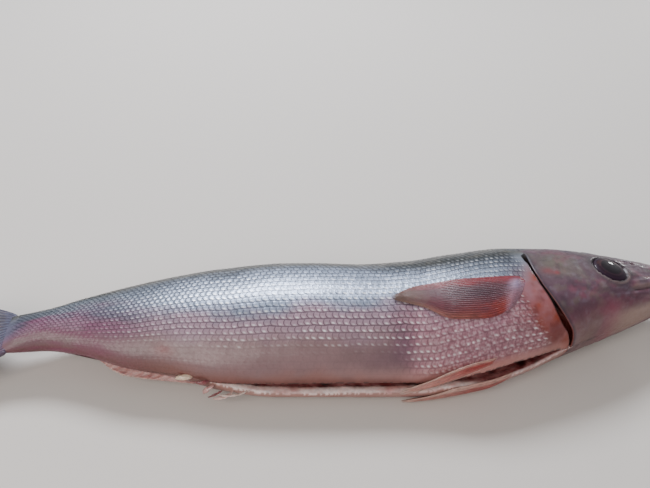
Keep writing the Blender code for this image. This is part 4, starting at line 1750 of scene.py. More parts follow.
@dataclass(frozen=True)
class WetRawFlesh:
    """Wet raw flesh of the cut faces, the cavity's wall and the shreds.

    The eye sees light sink a little way into soft pink fibres, and a strong wet gloss.
    """

    fibres_per_metre: float = 430.0  # bundles of fibres, 2.3 mm wide
    fibre_detail: float = 5.0
    fibre_roughness: float = 0.65
    tone: Span = (0.84, 1.14)
    relief: float = 0.0005  # metres
    relief_strength: float = 0.6
    roughness: float = 0.34
    light_in: float = 0.15
    light_reach: Place = (0.003, 0.0012, 0.0008)
    coat: float = 0.8
    coat_roughness: float = 0.1

    def make(self) -> Material:
        """Make the material.

        Returns:
            The material, which reads the attribute skin_paint.
        """
        material, tree, shader = new_material("wet raw flesh")
        painted = add_node(tree, "ShaderNodeAttribute", {"attribute_name": "skin_paint"})
        place = add_node(tree, "ShaderNodeTexCoord").outputs["Object"]
        fibres = {"Scale": self.fibres_per_metre, "Detail": self.fibre_detail}
        fibres |= {"Roughness": self.fibre_roughness, "Vector": place}
        fibre = add_node(tree, "ShaderNodeTexNoise", None, fibres).outputs[0]
        tone = remap(tree, fibre, 0.3, 0.7, *self.tone)
        base = blend_colours(tree, 1.0, painted.outputs["Color"], tone, "MULTIPLY")
        tree.links.new(base, shader.inputs["Base Color"])
        press(tree, shader, fibre, self.relief_strength, self.relief)
        let_light_in(shader, self.light_in, self.light_reach)
        shader.inputs["Roughness"].default_value = self.roughness
        shader.inputs["Coat Weight"].default_value = self.coat
        shader.inputs["Coat Roughness"].default_value = self.coat_roughness
        return material


class FinKind(Enum):
    """Look of a fin."""

    PECTORAL = "pectoral"
    PALE = "pale"
    TAIL = "tail"


@dataclass(frozen=True)
class WetFinMembrane:
    """Wet fin: thin skin stretched over fine bony rays.

    The eye sees streaks that run along the rays, edges that let some light in, and a thin
    wet film.
    """

    kind: FinKind
    streaks: Place = (3.0, 2.4, 1.0)  # per 12 mm of length and per ray
    streak_detail: float = 4.0
    streak_roughness: float = 0.6
    tone: Span = (0.65, 1.3)
    relief: float = 0.0003  # metres
    relief_strength: float = 0.45
    roughness: float = 0.36
    light_in: float = 0.2
    light_reach: Place = (0.002, 0.0008, 0.0006)
    coat: float = 0.25
    coat_roughness: float = 0.18

    def make(self) -> Material:
        """Make the material.

        Returns:
            The material, which reads the attribute skin_paint and the map.
        """
        material, tree, shader = new_material(f"wet {self.kind.value} fin membrane")
        painted = add_node(tree, "ShaderNodeAttribute", {"attribute_name": "skin_paint"})
        place = add_node(tree, "ShaderNodeUVMap", {"uv_map": "pattern"}).outputs[0]
        drawn = add_node(tree, "ShaderNodeMapping", None, {"Vector": place, "Scale": self.streaks})
        noise = {"Scale": 1.0, "Detail": self.streak_detail, "Roughness": self.streak_roughness}
        noise |= {"Vector": drawn.outputs[0]}
        streak = add_node(tree, "ShaderNodeTexNoise", None, noise).outputs[0]
        tone = remap(tree, streak, 0.3, 0.7, *self.tone)
        base = blend_colours(tree, 1.0, painted.outputs["Color"], tone, "MULTIPLY")
        tree.links.new(base, shader.inputs["Base Color"])
        press(tree, shader, streak, self.relief_strength, self.relief)
        let_light_in(shader, self.light_in, self.light_reach)
        shader.inputs["Roughness"].default_value = self.roughness
        shader.inputs["Coat Weight"].default_value = self.coat
        shader.inputs["Coat Roughness"].default_value = self.coat_roughness
        return material


@dataclass(frozen=True)
class GlassyEye:
    """Fish eye: dark pupil and brown iris under a clear wet cornea.

    The eye sees almost black depth with one small, sharp highlight on top.
    """

    roughness: float = 0.5
    specular: float = 0.1
    cornea: float = 0.32
    cornea_roughness: float = 0.05
    cornea_ior: float = 1.3

    def make(self) -> Material:
        """Make the material.

        Returns:
            The material, which reads the attribute skin_paint.
        """
        material, tree, shader = new_material("glassy fish eye")
        painted = add_node(tree, "ShaderNodeAttribute", {"attribute_name": "skin_paint"})
        tree.links.new(painted.outputs["Color"], shader.inputs["Base Color"])
        shader.inputs["Roughness"].default_value = self.roughness
        shader.inputs["Specular IOR Level"].default_value = self.specular
        shader.inputs["Coat Weight"].default_value = self.cornea
        shader.inputs["Coat Roughness"].default_value = self.cornea_roughness
        shader.inputs["Coat IOR"].default_value = self.cornea_ior
        return material


# ---------------------------------------------------------------- fins


@dataclass(frozen=True, kw_only=True)
class RayedFin:
    """A fin as a closed sheet with raised rays that fork towards the free edge."""

    name: str
    node: str
    slot: str = "pale_fin"
    kind: FinKind = FinKind.PALE
    rays: int
    thickness: float
    ray_height: float = 0.28
    under_ray: float = 0.3  # height of the rays' other side, as a share
    along_steps: int = 90
    steps_per_ray: int = 7
    branch_from: float = 0.5
    ragged: float = 0.05
    pattern_length: float = 12.0

    def place(self, along: Array, across: Array) -> tuple[Array, Array]:
        """Find the fin's middle surface; each kind of fin has its own.

        Args:
            along: share of the length from the root.
            across: share of the width from the leading edge.

        Returns:
            Points of the middle surface, and the directions in which the fin is thick.
        """
        raise NotImplementedError

    def colours(self, along: Array, across: Array, ridge: Array) -> Array:
        """Paint the fin; each kind of fin has its own colours.

        Args:
            along: share of the length from the root.
            across: share of the width from the leading edge.
            ridge: height of the rays, -1 to 1.

        Returns:
            Colours.
        """
        raise NotImplementedError

    def fullness(self, along: Array, across: Array) -> Array:
        """Thickness of the fin as a share of its greatest."""
        rounded = np.sin(np.pi * np.clip(across, 0.0, 1.0)) ** 0.5
        return (1.0 - 0.55 * along) * (0.35 + 0.65 * rounded)

    def ridge(self, along: Array, across: Array) -> Array:
        """Height of the rays from -1 to 1, with each ray forked near the edge."""
        single = np.cos(np.pi * 2.0 * across * self.rays)
        forked = np.cos(np.pi * 4.0 * across * self.rays)
        fork = rise(along, self.branch_from, self.branch_from + 0.3)
        return single * (1.0 - fork) + 0.6 * forked * fork

    def ragged_reach(self, along: Array, across: Array) -> Array:
        """Share of the length that each place reaches, shorter between the rays."""
        between = np.abs(np.sin(np.pi * across * self.rays * 2.0)) * 0.5
        torn = 0.5 * speckle(across * 31.0, 0 * along, 3.0)
        return along * (1.0 - self.ragged * (between + torn) * rise(along, 0.4, 1.0))

    def build(self) -> Piece:
        """Make the fin and hand it to the frame.

        Returns:
            The finished fin.
        """
        steps = self.rays * self.steps_per_ray
        across = np.linspace(0.0, 1.0, steps + 1)[:, None]
        along = np.linspace(0.0, 1.0, self.along_steps)[None, :]
        across, along = np.broadcast_arrays(across, along)
        reach = self.ragged_reach(along, across)
        middle, outward = self.place(reach, across)
        ridge = self.ridge(along, across)
        ends = np.minimum(rise(along, -0.001, 0.03), 1.0 - rise(along, 0.9, 1.0))
        half = self.thickness / 2 * self.fullness(reach, across) * ends
        fine = self.ray_height / 2 * ridge * ends
        inside = np.minimum(across, 1.0 - across) > 1e-9
        top = middle + outward * ((half + fine) * inside)[..., None]
        bottom = middle - outward * ((half - self.under_ray * fine) * inside)[..., None]
        points = np.concatenate([top, bottom[::-1][1:]])
        rows = np.concatenate([across * self.rays, (2.0 - across[::-1][1:]) * self.rays])
        columns = np.concatenate([along, along[::-1][1:]])
        sheet = grid_sheet(self.name, points.shape[1], points.shape[0])
        length = float(np.linalg.norm(middle[steps // 2, -1] - middle[steps // 2, 0]))
        lengthwise = columns * length / self.pattern_length
        shape_sheet(sheet, points, np.stack([lengthwise, rows], axis=-1))
        colour = self.colours(along, across, ridge)
        paint(sheet, "skin_paint", np.concatenate([colour, colour[::-1][1:]]))
        sheet.data.materials.append(WetFinMembrane(self.kind).make())
        weld(sheet)
        finish_piece(sheet, self.node)
        return sheet


@dataclass(frozen=True, kw_only=True)
class PectoralFin(RayedFin):
    """Pectoral fin folded back along a flank, with the fleshy lobe of its base."""

    slot: str = "paired_fin"
    kind: FinKind = FinKind.PECTORAL
    pressed: bool  # whether the fish lies on this fin
    # Share of the length, leading edge (x, y) and trailing edge (x, y).
    edges: Table = (
        (-0.12, 96.0, -13.0, 88.5, -23.5),
        (0.0, 91.5, -9.6, 80.5, -28.4),
        (0.25, 72.0, -8.0, 68.0, -31.4),
        (0.5, 55.0, -6.9, 50.0, -29.2),
        (0.75, 37.0, -7.4, 36.0, -21.0),
        (1.0, 20.0, -12.6, 20.0, -14.4),
    )
    lift: float = 0.85
    root_sunk: float = 1.35
    pressed_height: float = 0.95
    maroon: str = "#5e2c36"
    grey: str = "#432a35"
    leading: str = "#842630"
    orange: str = "#8c3226"
    trailing: str = "#8a5040"
    tip: str = "#6d594c"
    between_rays: str = "#2e1419"
    on_rays: str = "#b0766c"
    lobe: str = "#97707f"
    # Painted sheen: a bluish highlight on the fleshy lobe.
    lobe_painted_sheen: str = "#9a8fae"

    def place(self, along: Array, across: Array) -> tuple[Array, Array]:
        """Lay the folded fin on the flank."""
        first = self.edges[0][0]
        share = along * (1.0 - first) + first
        lead_x, lead_y, trail_x, trail_y = smooth_columns(self.edges, share)
        x = lead_x + (trail_x - lead_x) * across
        y = lead_y + (trail_y - lead_y) * across
        if self.pressed:
            middle = np.stack([x, y, np.full(x.shape, self.pressed_height)], axis=-1)
            return middle, np.broadcast_to(np.array([0.0, 0.0, -1.0]), middle.shape)
        angles = FORM.flank_angle(x, y)
        outward = FORM.outward(x, angles)
        wave = 0.35 * np.sin(across * 7.0 + along * 4.0) * rise(along, 0.2, 0.7)
        root = 1.0 - rise(along, 0.0, 0.13)
        curl = 0.9 * rise(along, 0.75, 1.0) * across
        lifted = self.lift - 0.3 * across + wave + curl - self.root_sunk * root
        return FORM.point(x, angles) + outward * lifted[..., None], outward

    def fullness(self, along: Array, across: Array) -> Array:
        """Thickness as a share: thick over the fleshy base and thin at the tip."""
        if self.pressed:
            return (0.85 - 0.4 * along) * (0.35 + 0.65 * np.sin(np.pi * across) ** 0.5)
        lobe = 1.5 * hump(along - 0.1, 0.09) * np.sin(np.pi * across)
        return (1.0 - 0.6 * along) * (0.3 + 0.7 * np.sin(np.pi * across) ** 0.5) + lobe

    def colours(self, along: Array, across: Array, ridge: Array) -> Array:
        """Maroon edges, grey middle, orange-red lower base, a brownish thin tip and a painted sheen
        on the lobe.
        """
        blotch = cloud(along * 9.0, across * 6.0, 3.0) - 0.5
        leading = 1.0 - rise(across + 0.3 * blotch, 0.1, 0.28)
        low = rise(across + 0.5 * blotch, 0.5, 0.85) * (1.0 - rise(along + 0.4 * blotch, 0.22, 0.55))
        hollow = rise(-ridge, 0.2, 0.9) * rise(along, 0.12, 0.25)
        raised = rise(ridge, 0.5, 1.0) * rise(along, 0.3, 0.5)
        lobe = (1.0 - rise(along + 0.08 * blotch, 0.11, 0.2)) * rise(across, 0.02, 0.2)
        middle = spot(along, across, (0.42, 0.42), (0.26, 0.2))
        # Painted sheen: a bluish highlight on the fleshy lobe.
        sheen = spot(along, across, (0.11, 0.28), (0.05, 0.16))
        trailing = rise(across, 0.8, 0.98) * rise(along, 0.25, 0.5)
        colour = over(plain(along, self.maroon), self.grey, 0.9 * middle)
        colour = over(colour, self.leading, 0.9 * leading)
        colour = over(colour, self.orange, 0.75 * low)
        colour = over(colour, self.trailing, 0.6 * trailing)
        colour = over(colour, self.tip, 0.75 * rise(along + 0.25 * blotch, 0.66, 0.98))
        colour = over(colour, self.between_rays, 0.4 * hollow)
        colour = over(colour, self.on_rays, 0.16 * raised)
        colour = over(colour, self.lobe, 0.9 * lobe)
        return over(colour, self.lobe_painted_sheen, 0.6 * sheen)


@dataclass(frozen=True, kw_only=True)
class PelvicFin(RayedFin):
    """Pelvic fin folded back beside the belly slit."""

    # Share of the length, then place and section angle of each edge, and the gap.
    edges: Table
    rays: int = 6
    thickness: float = 1.3
    ray_height: float = 0.2
    branch_from: float = 0.35
    lift: float = 0.8
    pink: str = "#a8736a"
    leading: str = "#c4a598"
    red: str = "#8a211f"
    trailing: str = "#c5a79c"
    tip: str = "#bba296"
    between_rays: str = "#6c2b28"

    def place(self, along: Array, across: Array) -> tuple[Array, Array]:
        """Lay the fin beside the skin."""
        upper_x, upper_angle, lower_x, lower_angle, gap = smooth_columns(self.edges, along)
        x = upper_x + (lower_x - upper_x) * across
        angle = upper_angle + (lower_angle - upper_angle) * across
        outward = FORM.outward(x, angle)
        fold = 0.4 * np.sin(across * 9.0 + along * 3.0) * rise(along, 0.15, 0.5)
        return FORM.point(x, angle) + outward * (gap + self.lift + fold)[..., None], outward

    def colours(self, along: Array, across: Array, ridge: Array) -> Array:
        """Whitish leading edge, pink membrane and a red line down the middle."""
        blotch = cloud(along * 8.0, across * 5.0, 5.0) - 0.5
        leading = 1.0 - rise(across + 0.3 * blotch, 0.1, 0.3)
        line = spot(across, along, (0.45, 0.24), (0.34, 0.3))
        colour = over(plain(along, self.pink), self.leading, 0.8 * leading)
        colour = over(colour, self.red, 0.95 * line)
        colour = over(colour, self.trailing, 0.7 * rise(across, 0.85, 0.97))
        colour = over(colour, self.tip, 0.6 * rise(along + 0.3 * blotch, 0.7, 1.0))
        return over(colour, self.between_rays, 0.2 * rise(-ridge, 0.2, 0.9))


@dataclass(frozen=True)
class EdgeFinColours:
    """Colours of a fin on the body's edge."""

    membrane: str
    ray: str
    edge: str
    blotch: str


PINK_EDGE_FIN = EdgeFinColours("#9c6a64", "#b58f86", "#d6beb2", "#7c2f33")
DUSKY_EDGE_FIN = EdgeFinColours("#5a5654", "#8b8478", "#7d776c", "#3b3a3c")


@dataclass(frozen=True, kw_only=True)
class EdgeFin(RayedFin):
    """Fin folded down on the back or the belly edge."""

    span: Span  # rear and front place of the root
    degrees: float  # section angle of the root
    heights: Table  # share from rear to front, and height
    palette: EdgeFinColours = DUSKY_EDGE_FIN
    root_sunk: float = 0.3
    lean: float = 1.5
    ripple: float = 0.25

    def place(self, along: Array, across: Array) -> tuple[Array, Array]:
        """Stand the fin on the body's edge, leaning back."""
        rear, front = self.span
        share = 1.0 - across
        x = rear + (front - rear) * share
        height = smooth_columns(self.heights, share)[0]
        angles = np.full(x.shape, self.degrees)
        outward = FORM.outward(x, angles)
        side = np.cross(outward, np.broadcast_to(np.array([1.0, 0.0, 0.0]), outward.shape))
        side = side / np.linalg.norm(side, axis=-1, keepdims=True)
        back = -self.lean * along * height * rise(share, 0.0, 0.15)
        lean = np.stack([back, x * 0.0, x * 0.0], axis=-1)
        bend = side * (self.ripple * np.sin(x / 5.0) * along * height)[..., None]
        raised = outward * (along * height - self.root_sunk)[..., None]
        return FORM.point(x, angles) + raised + lean + bend, side

    def colours(self, along: Array, across: Array, ridge: Array) -> Array:
        """Membrane with paler rays and edge."""
        blotch = cloud(along * 3.0, across * 9.0, 8.0) - 0.5
        colour = plain(along, self.palette.membrane)
        colour = over(colour, self.palette.ray, 0.2 * rise(ridge, -0.2, 1.0))
        colour = over(colour, self.palette.edge, 0.6 * rise(along, 0.75, 0.95))
        return over(colour, self.palette.blotch, 0.5 * rise(blotch, 0.0, 0.3))


@dataclass(frozen=True, kw_only=True)
class TailFin(RayedFin):
    """Forked tail fin, half closed and drooping a little."""

    kind: FinKind = FinKind.TAIL
    root_x: float = -180.5
    root: Span = (17.5, -8.5)
    edge: Span = (41.0, -33.0)
    middle_height: float = 19.5
    length: float = 44.6
    fork: float = 13.0
    droop: float = 4.0
    flare: float = 0.9
    root_fullness: float = 3.9
    membrane: str = "#5a5a66"
    root_grey: str = "#5a5a70"
    low_mauve: str = "#6d4a5e"
    on_rays: str = "#90888a"
    between_rays: str = "#3f3a42"
    rim: str = "#46424a"

    def place(self, along: Array, across: Array) -> tuple[Array, Array]:
        """Fan the fin out from the stalk."""
        spread = along**self.flare
        top = self.root[0] + (self.edge[0] - self.root[0]) * spread
        bottom = self.root[1] + (self.edge[1] - self.root[1]) * spread
        notch = self.fork * along * np.sin(np.pi * across)
        x = self.root_x - self.length * along + notch
        y = top + (bottom - top) * across
        wave = 0.7 * np.sin(across * 14.0) * along + 0.5 * np.sin(across * 5.0 + along * 3.0) * along
        z = self.middle_height - self.droop * along**2 + wave
        middle = np.stack([x, y, z], axis=-1)
        return middle, np.broadcast_to(np.array([0.0, 0.0, 1.0]), middle.shape)

    def fullness(self, along: Array, across: Array) -> Array:
        """Thickness as a share: thick at the scaly root and thin at the forked edge."""
        root = self.root_fullness * (1.0 - rise(along, 0.0, 0.34))
        return (1.0 + root) * (0.4 + 0.6 * np.sin(np.pi * across) ** 0.5)

    def colours(self, along: Array, across: Array, ridge: Array) -> Array:
        """Blue-grey root, dusky membrane and paler rays."""
        blotch = cloud(along * 7.0, across * 7.0, 2.0) - 0.5
        root = 1.0 - rise(along + 0.2 * blotch, 0.12, 0.36)
        low = rise(across + 0.5 * blotch, 0.5, 0.9)
        free = rise(along, 0.1, 0.3)
        colour = over(plain(along, self.membrane), self.root_grey, 0.8 * root)
        colour = over(colour, self.low_mauve, 0.5 * low)
        colour = over(colour, self.on_rays, 0.5 * rise(ridge, 0.2, 0.9) * free)
        colour = over(colour, self.between_rays, 0.4 * rise(-ridge, 0.2, 0.9) * free)
        return over(colour, self.rim, 0.5 * rise(along, 0.85, 1.0))


@dataclass(frozen=True)
class FinSet:
    """All eight fins of the fish."""

    right_pelvic: Table = (
        (0.0, 71.0, 157.0, 68.0, 164.0, -0.6),
        (0.25, 60.0, 158.0, 58.0, 169.0, 0.2),
        (0.5, 48.0, 162.5, 46.0, 177.0, 0.6),
        (0.75, 35.0, 173.0, 34.0, 186.0, 0.9),
        (1.0, 20.0, 187.5, 20.0, 192.0, 1.1),
    )
    left_pelvic: Table = (
        (0.0, 84.0, 186.0, 77.0, 203.0, -1.3),
        (0.25, 68.0, 184.0, 64.0, 213.0, -0.5),
        (0.5, 53.0, 186.0, 49.0, 216.0, -0.1),
        (0.75, 38.0, 193.0, 36.0, 213.0, 0.5),
        (1.0, 22.0, 201.0, 22.0, 207.0, 1.6),
    )
    anal: Table = ((0.0, 0.3), (0.15, 1.5), (0.4, 3.2), (0.6, 3.1), (0.85, 2.0), (1.0, 0.6))
    first_dorsal: Table = ((0.0, 0.8), (0.3, 3.2), (0.62, 5.2), (0.85, 3.4), (1.0, 0.8))
    second_dorsal: Table = ((0.0, 0.8), (0.3, 3.0), (0.62, 4.9), (0.85, 3.2), (1.0, 0.8))
    back_angle: float = 0.0
    anal_angle: float = 207.0

    def paired(self) -> list[RayedFin]:
        """Pectoral and pelvic fins, the right one of each pair first."""
        return [
            PectoralFin(
                name="right_pectoral", node="right_pectoral_fin", pressed=False, rays=21,
                thickness=0.85, ray_height=0.11, along_steps=130,
            ),
            PectoralFin(
                name="left_pectoral", node="left_pectoral_fin", pressed=True, rays=17,
                thickness=1.2, ray_height=0.15,
            ),
            PelvicFin(name="right_pelvic", node="right_pelvic_fin", edges=self.right_pelvic),
            PelvicFin(name="left_pelvic", node="left_pelvic_fin", edges=self.left_pelvic),
        ]

    def single(self) -> list[RayedFin]:
        """Anal fin, both dorsal fins and the tail fin."""
        return [
            EdgeFin(
                name="anal", node="anal_fin", rays=11, thickness=1.3, ray_height=0.12,
                along_steps=24, ragged=0.12, span=(-135.0, -84.0), degrees=self.anal_angle,
                heights=self.anal, palette=PINK_EDGE_FIN,
            ),
            EdgeFin(
                name="first_dorsal", node="first_dorsal_fin", rays=9, thickness=1.8,
                along_steps=20, ragged=0.25, span=(-2.0, 86.0), degrees=self.back_angle,
                heights=self.first_dorsal,
            ),
            EdgeFin(
                name="second_dorsal", node="second_dorsal_fin", rays=13, thickness=1.6,
                along_steps=20, ragged=0.2, span=(-98.0, -12.0), degrees=self.back_angle,
                heights=self.second_dorsal,
            ),
            TailFin(
                name="caudal", node="caudal_fin", rays=17, thickness=1.0, ray_height=0.4,
                ragged=0.08,
            ),
        ]

    def build(self) -> None:
        """Make all fins."""
        for fin in self.paired() + self.single():
            fin.build()


# ---------------------------------------------------------------- eyes


@dataclass(frozen=True, kw_only=True)
class Eye:
    """Flat, glossy eyeball that sits in its socket on one side of the head; millimetres."""

    name: str
    node: str
    side: float  # 1 for the right eye, -1 for the left one
    radius: float = 9.7
    half_height: float = 2.4
    bulge: float = 1.5
    pupil: float = 6.2
    iris: float = 8.3
    segments: int = 96
    rings: int = 64
    iris_brown: str = "#261722"
    iris_fleck: str = "#4a2a26"
    pupil_ring: str = "#4a3038"
    white: str = "#2c1c2a"
    pupil_black: str = "#150c14"

    def ball(self) -> Piece:
        """Make the eyeball from a sphere pressed flat.

        Returns:
            The ball, at the origin and facing up.
        """
        bpy.ops.object.select_all(action="DESELECT")
        bpy.ops.mesh.primitive_uv_sphere_add(
            segments=self.segments, ring_count=self.rings, radius=self.radius * MM
        )
        ball = bpy.context.object
        ball.name = self.name
        bpy.ops.object.mode_set(mode="EDIT")
        bpy.ops.transform.resize(value=(1.0, 1.0, self.half_height / self.radius))
        bpy.ops.object.mode_set(mode="OBJECT")
        return ball

    def colours(self, spots: Array) -> Array:
        """Paint a black pupil, a brown flecked iris and the dark white of the eye.

        Args:
            spots: places of the ball's vertices.

        Returns:
            Colours.
        """
        far = np.hypot(spots[:, 0], spots[:, 1])
        grain = cloud(spots[:, 0] / 1.6, spots[:, 1] / 1.6, 4.0) - 0.5
        colour = over(plain(far, self.iris_brown), self.iris_fleck, 0.7 * rise(grain, 0.0, 0.3))
        colour = over(colour, self.pupil_ring, 0.3 * hump(far - self.pupil - 0.35, 0.35))
        colour = over(colour, self.white, rise(far, self.iris - 0.6, self.iris + 0.3))
        pupil = 1.0 - rise(far, self.pupil - 1.2, self.pupil + 0.3)
        return over(colour, self.pupil_black, pupil)

    def seat(self, ball: Piece) -> None:
        """Turn the ball to face out of the skin and set it in its socket."""
        x, y = np.array(HEAD.eye_place[0]), np.array(HEAD.eye_place[1])
        angle = FORM.flank_angle(x, y)
        if self.side < 0.0:
            angle = 360.0 - angle
        outward = FORM.outward(x, angle)
        centre = (FORM.point(x, angle) + outward * (self.bulge - self.half_height)) * MM
        aim = Vector(outward).to_track_quat("Z", "Y").to_matrix().to_4x4()
        ball.data.transform(Matrix.Translation(Vector(centre)) @ aim)

    def build(self) -> Piece:
        """Make the eye and hand it to the frame.

        Returns:
            The finished eye.
        """
        ball = self.ball()
        paint(ball, "skin_paint", self.colours(vertex_places(ball) / MM))
        self.seat(ball)
        ball.data.materials.append(GlassyEye().make())
        only_select(ball)
        bpy.ops.object.shade_smooth()
        finish_piece(ball, self.node)
        return ball


# ---------------------------------------------------------------- shreds at the vent


@dataclass(frozen=True)
class Shred:
    """One torn strip: points of its path, its widest half width and its colour."""

    path: Table
    half_width: float
    colour: str


@dataclass(frozen=True)
class VentShreds:
    """Torn strips of membrane and a lump of fat at the rear end of the belly slit."""

    strips: tuple[Shred, ...] = (
        Shred(
            ((-74.0, -36.5, 14.0), (-78.0, -37.5, 12.0), (-80.0, -36.5, 9.0), (-80.5, -35.0, 6.5)),
            1.3,
            "#b58a86",
        ),
        Shred(
            ((-70.0, -38.0, 11.0), (-74.5, -39.0, 9.0), (-77.0, -38.0, 6.5), (-78.0, -36.5, 4.5)),
            1.1,
            "#6e3438",
        ),
        Shred(
            ((-64.0, -38.5, 11.0), (-69.0, -41.0, 9.5), (-73.0, -40.5, 8.0), (-76.0, -39.0, 6.5)),
            1.0,
            "#c9aaa2",
        ),
        Shred(
            ((-76.0, -34.5, 15.5), (-80.0, -36.0, 15.8), (-84.0, -34.5, 15.0), (-87.0, -32.5, 14.5)),
            1.2,
            "#7a3f44",
        ),
        Shred(
            ((-56.0, -40.0, 12.0), (-62.0, -42.0, 11.8), (-68.0, -41.5, 11.0), (-73.0, -39.5, 10.0)),
            1.0,
            "#d8c0b6",
        ),
    )
    steps: int = 28
    corners: int = 15
    flatness: float = 0.4
    blood: str = "#7c3335"
    lump_place: Place = (-89.0, -31.4, 16.0)
    lump_size: Place = (4.4, 1.6, 1.5)
    lump_dents: float = 0.16
    fat: str = "#d9c3aa"
    fat_pink: str = "#b98a78"

    def strip_points(self, number: int, shred: Shred) -> Array:
        """Sweep a flat oval along a strip's path, twisting and tapering it.

        Args:
            number: number of the strip, which picks its twist.
            shred: path and width of the strip.

        Returns:
            Points, corners by steps by three.
        """
        share = np.linspace(0.0, 1.0, self.steps)
        knots = np.linspace(0.0, 1.0, len(shred.path))
        table = [(knot, *place) for knot, place in zip(knots, shred.path)]
        line = np.stack(smooth_columns(table, share), axis=-1)
        ahead = np.gradient(line, axis=0)
        ahead /= np.linalg.norm(ahead, axis=-1, keepdims=True)
        side = np.cross(ahead, np.array([0.0, 0.0, 1.0]))
        side /= np.linalg.norm(side, axis=-1, keepdims=True)
        up = np.cross(side, ahead)
        twist = number * 1.3 + share * 1.8
        wide = side * np.cos(twist)[:, None] + up * np.sin(twist)[:, None]
        thin = up * np.cos(twist)[:, None] - side * np.sin(twist)[:, None]
        uneven = 1.0 + 0.3 * wobble(share * 21.0, number)
        size = shred.half_width * np.sin(np.pi * share**0.7) * uneven
        turn = np.linspace(0.0, 2.0 * np.pi, self.corners)[:, None]
        widely = wide[None] * (size * np.cos(turn))[..., None]
        thinly = thin[None] * (size * self.flatness * np.sin(turn))[..., None]
        return line[None] + widely + thinly

    def strip(self, number: int, shred: Shred) -> Piece:
        """Make one closed strip and hand it to the frame.

        Args:
            number: number of the strip, from 0.
            shred: path, width and colour of the strip.

        Returns:
            The finished strip.
        """
        points = self.strip_points(number, shred)
        piece = grid_sheet(f"vent_shred_{number + 1}", self.steps, self.corners)
        share = np.linspace(0.0, 1.0, self.steps)[None, :]
        turn = np.linspace(0.0, 2.0 * np.pi, self.corners)[:, None]
        rows, columns = np.broadcast_arrays(turn, share)
        shape_sheet(piece, points, np.stack([columns * 8.0, rows], axis=-1))
        grain = cloud(columns * 9.0, rows, number + 1.0) - 0.5
        colour = over(plain(rows, shred.colour), self.blood, 0.6 * rise(grain, 0.0, 0.3))
        paint(piece, "skin_paint", colour)
        piece.data.materials.append(WetRawFlesh().make())
        weld(piece)
        finish_piece(piece, None)
        return piece

    def lump(self) -> Piece:
        """Make the lump of fat from a ball drawn long and dented.

        Returns:
            The finished lump.
        """
        bpy.ops.object.select_all(action="DESELECT")
        bpy.ops.mesh.primitive_ico_sphere_add(subdivisions=5, radius=1.0)
        piece = bpy.context.object
        piece.name = "vent_fat"
        spots = vertex_places(piece)
        lengthwise = wobble(spots[:, 0] * 5.0 + spots[:, 2] * 3.0, 1.0)
        dents = 1.0 + self.lump_dents * lengthwise * wobble(spots[:, 1] * 4.0, 2.0)
        placed = np.array(self.lump_place) + spots * np.array(self.lump_size) * dents[:, None]
        piece.data.vertices.foreach_set("co", (placed * MM).astype(np.float32).ravel())
        grain = cloud(spots[:, 0] * 3.0, spots[:, 1] * 3.0, 5.0) - 0.5
        colour = over(plain(grain, self.fat), self.fat_pink, rise(grain, 0.05, 0.3))
        paint(piece, "skin_paint", colour)
        piece.data.materials.append(WetRawFlesh().make())
        only_select(piece)
        bpy.ops.object.shade_smooth()
        finish_piece(piece, None)
        return piece

    def build(self) -> None:
        """Make all strips and the lump."""
        for number, shred in enumerate(self.strips):
            self.strip(number, shred)
        self.lump()


# ---------------------------------------------------------------- room, light and camera


@dataclass(frozen=True)
class Lamp:
    """A soft area light that points at a target; lengths in metres."""

    name: str
    place: Place
    target: Place
    size: Span
    watts: float
    colour: str

    def build(self) -> None:
        """Add the light."""
        bpy.ops.object.light_add(type="AREA", location=self.place)
        lamp = bpy.context.object
        lamp.name = self.name
        lamp.data.shape = "ELLIPSE"
        lamp.data.size, lamp.data.size_y = self.size
        lamp.data.energy = self.watts
        lamp.data.color = linear_rgba(self.colour)[:3]
        aim = Vector(self.target) - Vector(self.place)
        lamp.rotation_euler = aim.to_track_quat("-Z", "Y").to_euler()


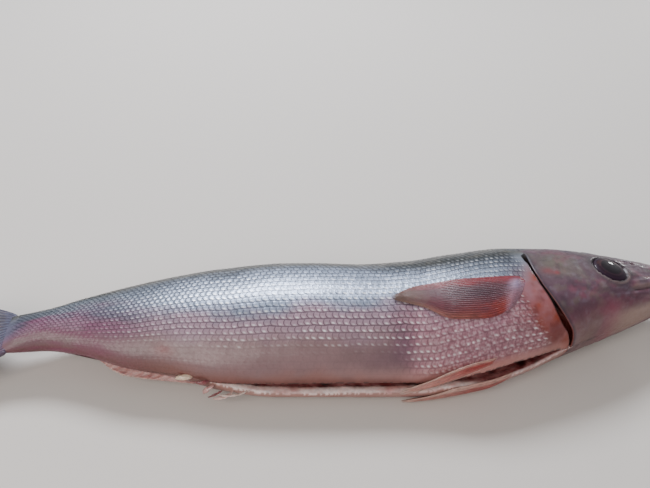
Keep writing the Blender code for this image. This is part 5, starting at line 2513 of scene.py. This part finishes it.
@dataclass(frozen=True)
class Studio:
    """Pale floor, soft light from above and behind, and a camera above the belly side."""

    camera_place: Place = (-0.0535, -0.2447, 0.272)
    heading: float = 9.18
    pitch: float = 38.7
    roll: float = 2.6
    lens: float = 34.45
    lamps: tuple[Lamp, ...] = (
        Lamp("key_light", (-0.05, 0.9, 0.95), (0.02, 0.0, 0.0), (0.6, 0.4), 21.0, "#f4f7ff"),
        Lamp("fill_light", (-0.7, -0.8, 0.8), (0.0, 0.0, 0.0), (1.0, 1.0), 12.0, "#fff4ec"),
        Lamp("side_light", (0.765, 0.61, 0.175), (0.15, 0.0, 0.03), (0.06, 0.06), 0.8, "#ffffff"),
    )
    sky: str = "#d6dae2"
    sky_strength: float = 0.42
    floor_size: float = 6.0
    floor_colour: str = "#d9d4cd"
    floor_roughness: float = 0.75

    def floor(self) -> None:
        """Lay the floor."""
        bpy.ops.object.select_all(action="DESELECT")
        bpy.ops.mesh.primitive_plane_add(size=self.floor_size, location=(0.0, 0.0, 0.0))
        floor = bpy.context.object
        floor.name = "floor"
        material, _, shader = new_material("pale matt floor")
        shader.inputs["Base Color"].default_value = linear_rgba(self.floor_colour)
        shader.inputs["Roughness"].default_value = self.floor_roughness
        floor.data.materials.append(material)

    def soft_room(self) -> None:
        """Light the room evenly from all sides."""
        world = bpy.data.worlds.new("soft room")
        bpy.context.scene.world = world
        world.use_nodes = True
        sky = world.node_tree.nodes["Background"]
        sky.inputs[0].default_value = linear_rgba(self.sky)
        sky.inputs[1].default_value = self.sky_strength

    def camera(self) -> None:
        """Place the camera."""
        bpy.ops.object.camera_add()
        camera = bpy.context.object
        camera.name = "camera"
        turn = Matrix.Rotation(math.radians(-self.heading), 4, "Z")
        tilt = Matrix.Rotation(math.radians(90.0 - self.pitch), 4, "X")
        lean = Matrix.Rotation(math.radians(self.roll), 4, "Z")
        camera.matrix_world = Matrix.Translation(self.camera_place) @ turn @ tilt @ lean
        camera.data.sensor_width = 36.0
        camera.data.lens = self.lens
        camera.data.clip_start = 0.01
        bpy.context.scene.camera = camera

    def build(self) -> None:
        """Place the floor, the lights and the camera."""
        self.floor()
        for lamp in self.lamps:
            lamp.build()
        self.soft_room()
        self.camera()
        log.info("studio: %d lamps", len(self.lamps))


# ---------------------------------------------------------------- main


def main() -> None:
    """Build the fish's looks in order."""
    logging.basicConfig(level=logging.INFO, format="%(name)s: %(message)s")
    FishBody(BodySizes()).build()
    Eye(name="right_fish_eye", node="right_eye", side=1.0).build()
    Eye(name="left_fish_eye", node="left_eye", side=-1.0).build()
    FinSet().build()
    VentShreds().build()
    Studio().build()


if __name__ == "__main__":
    main()
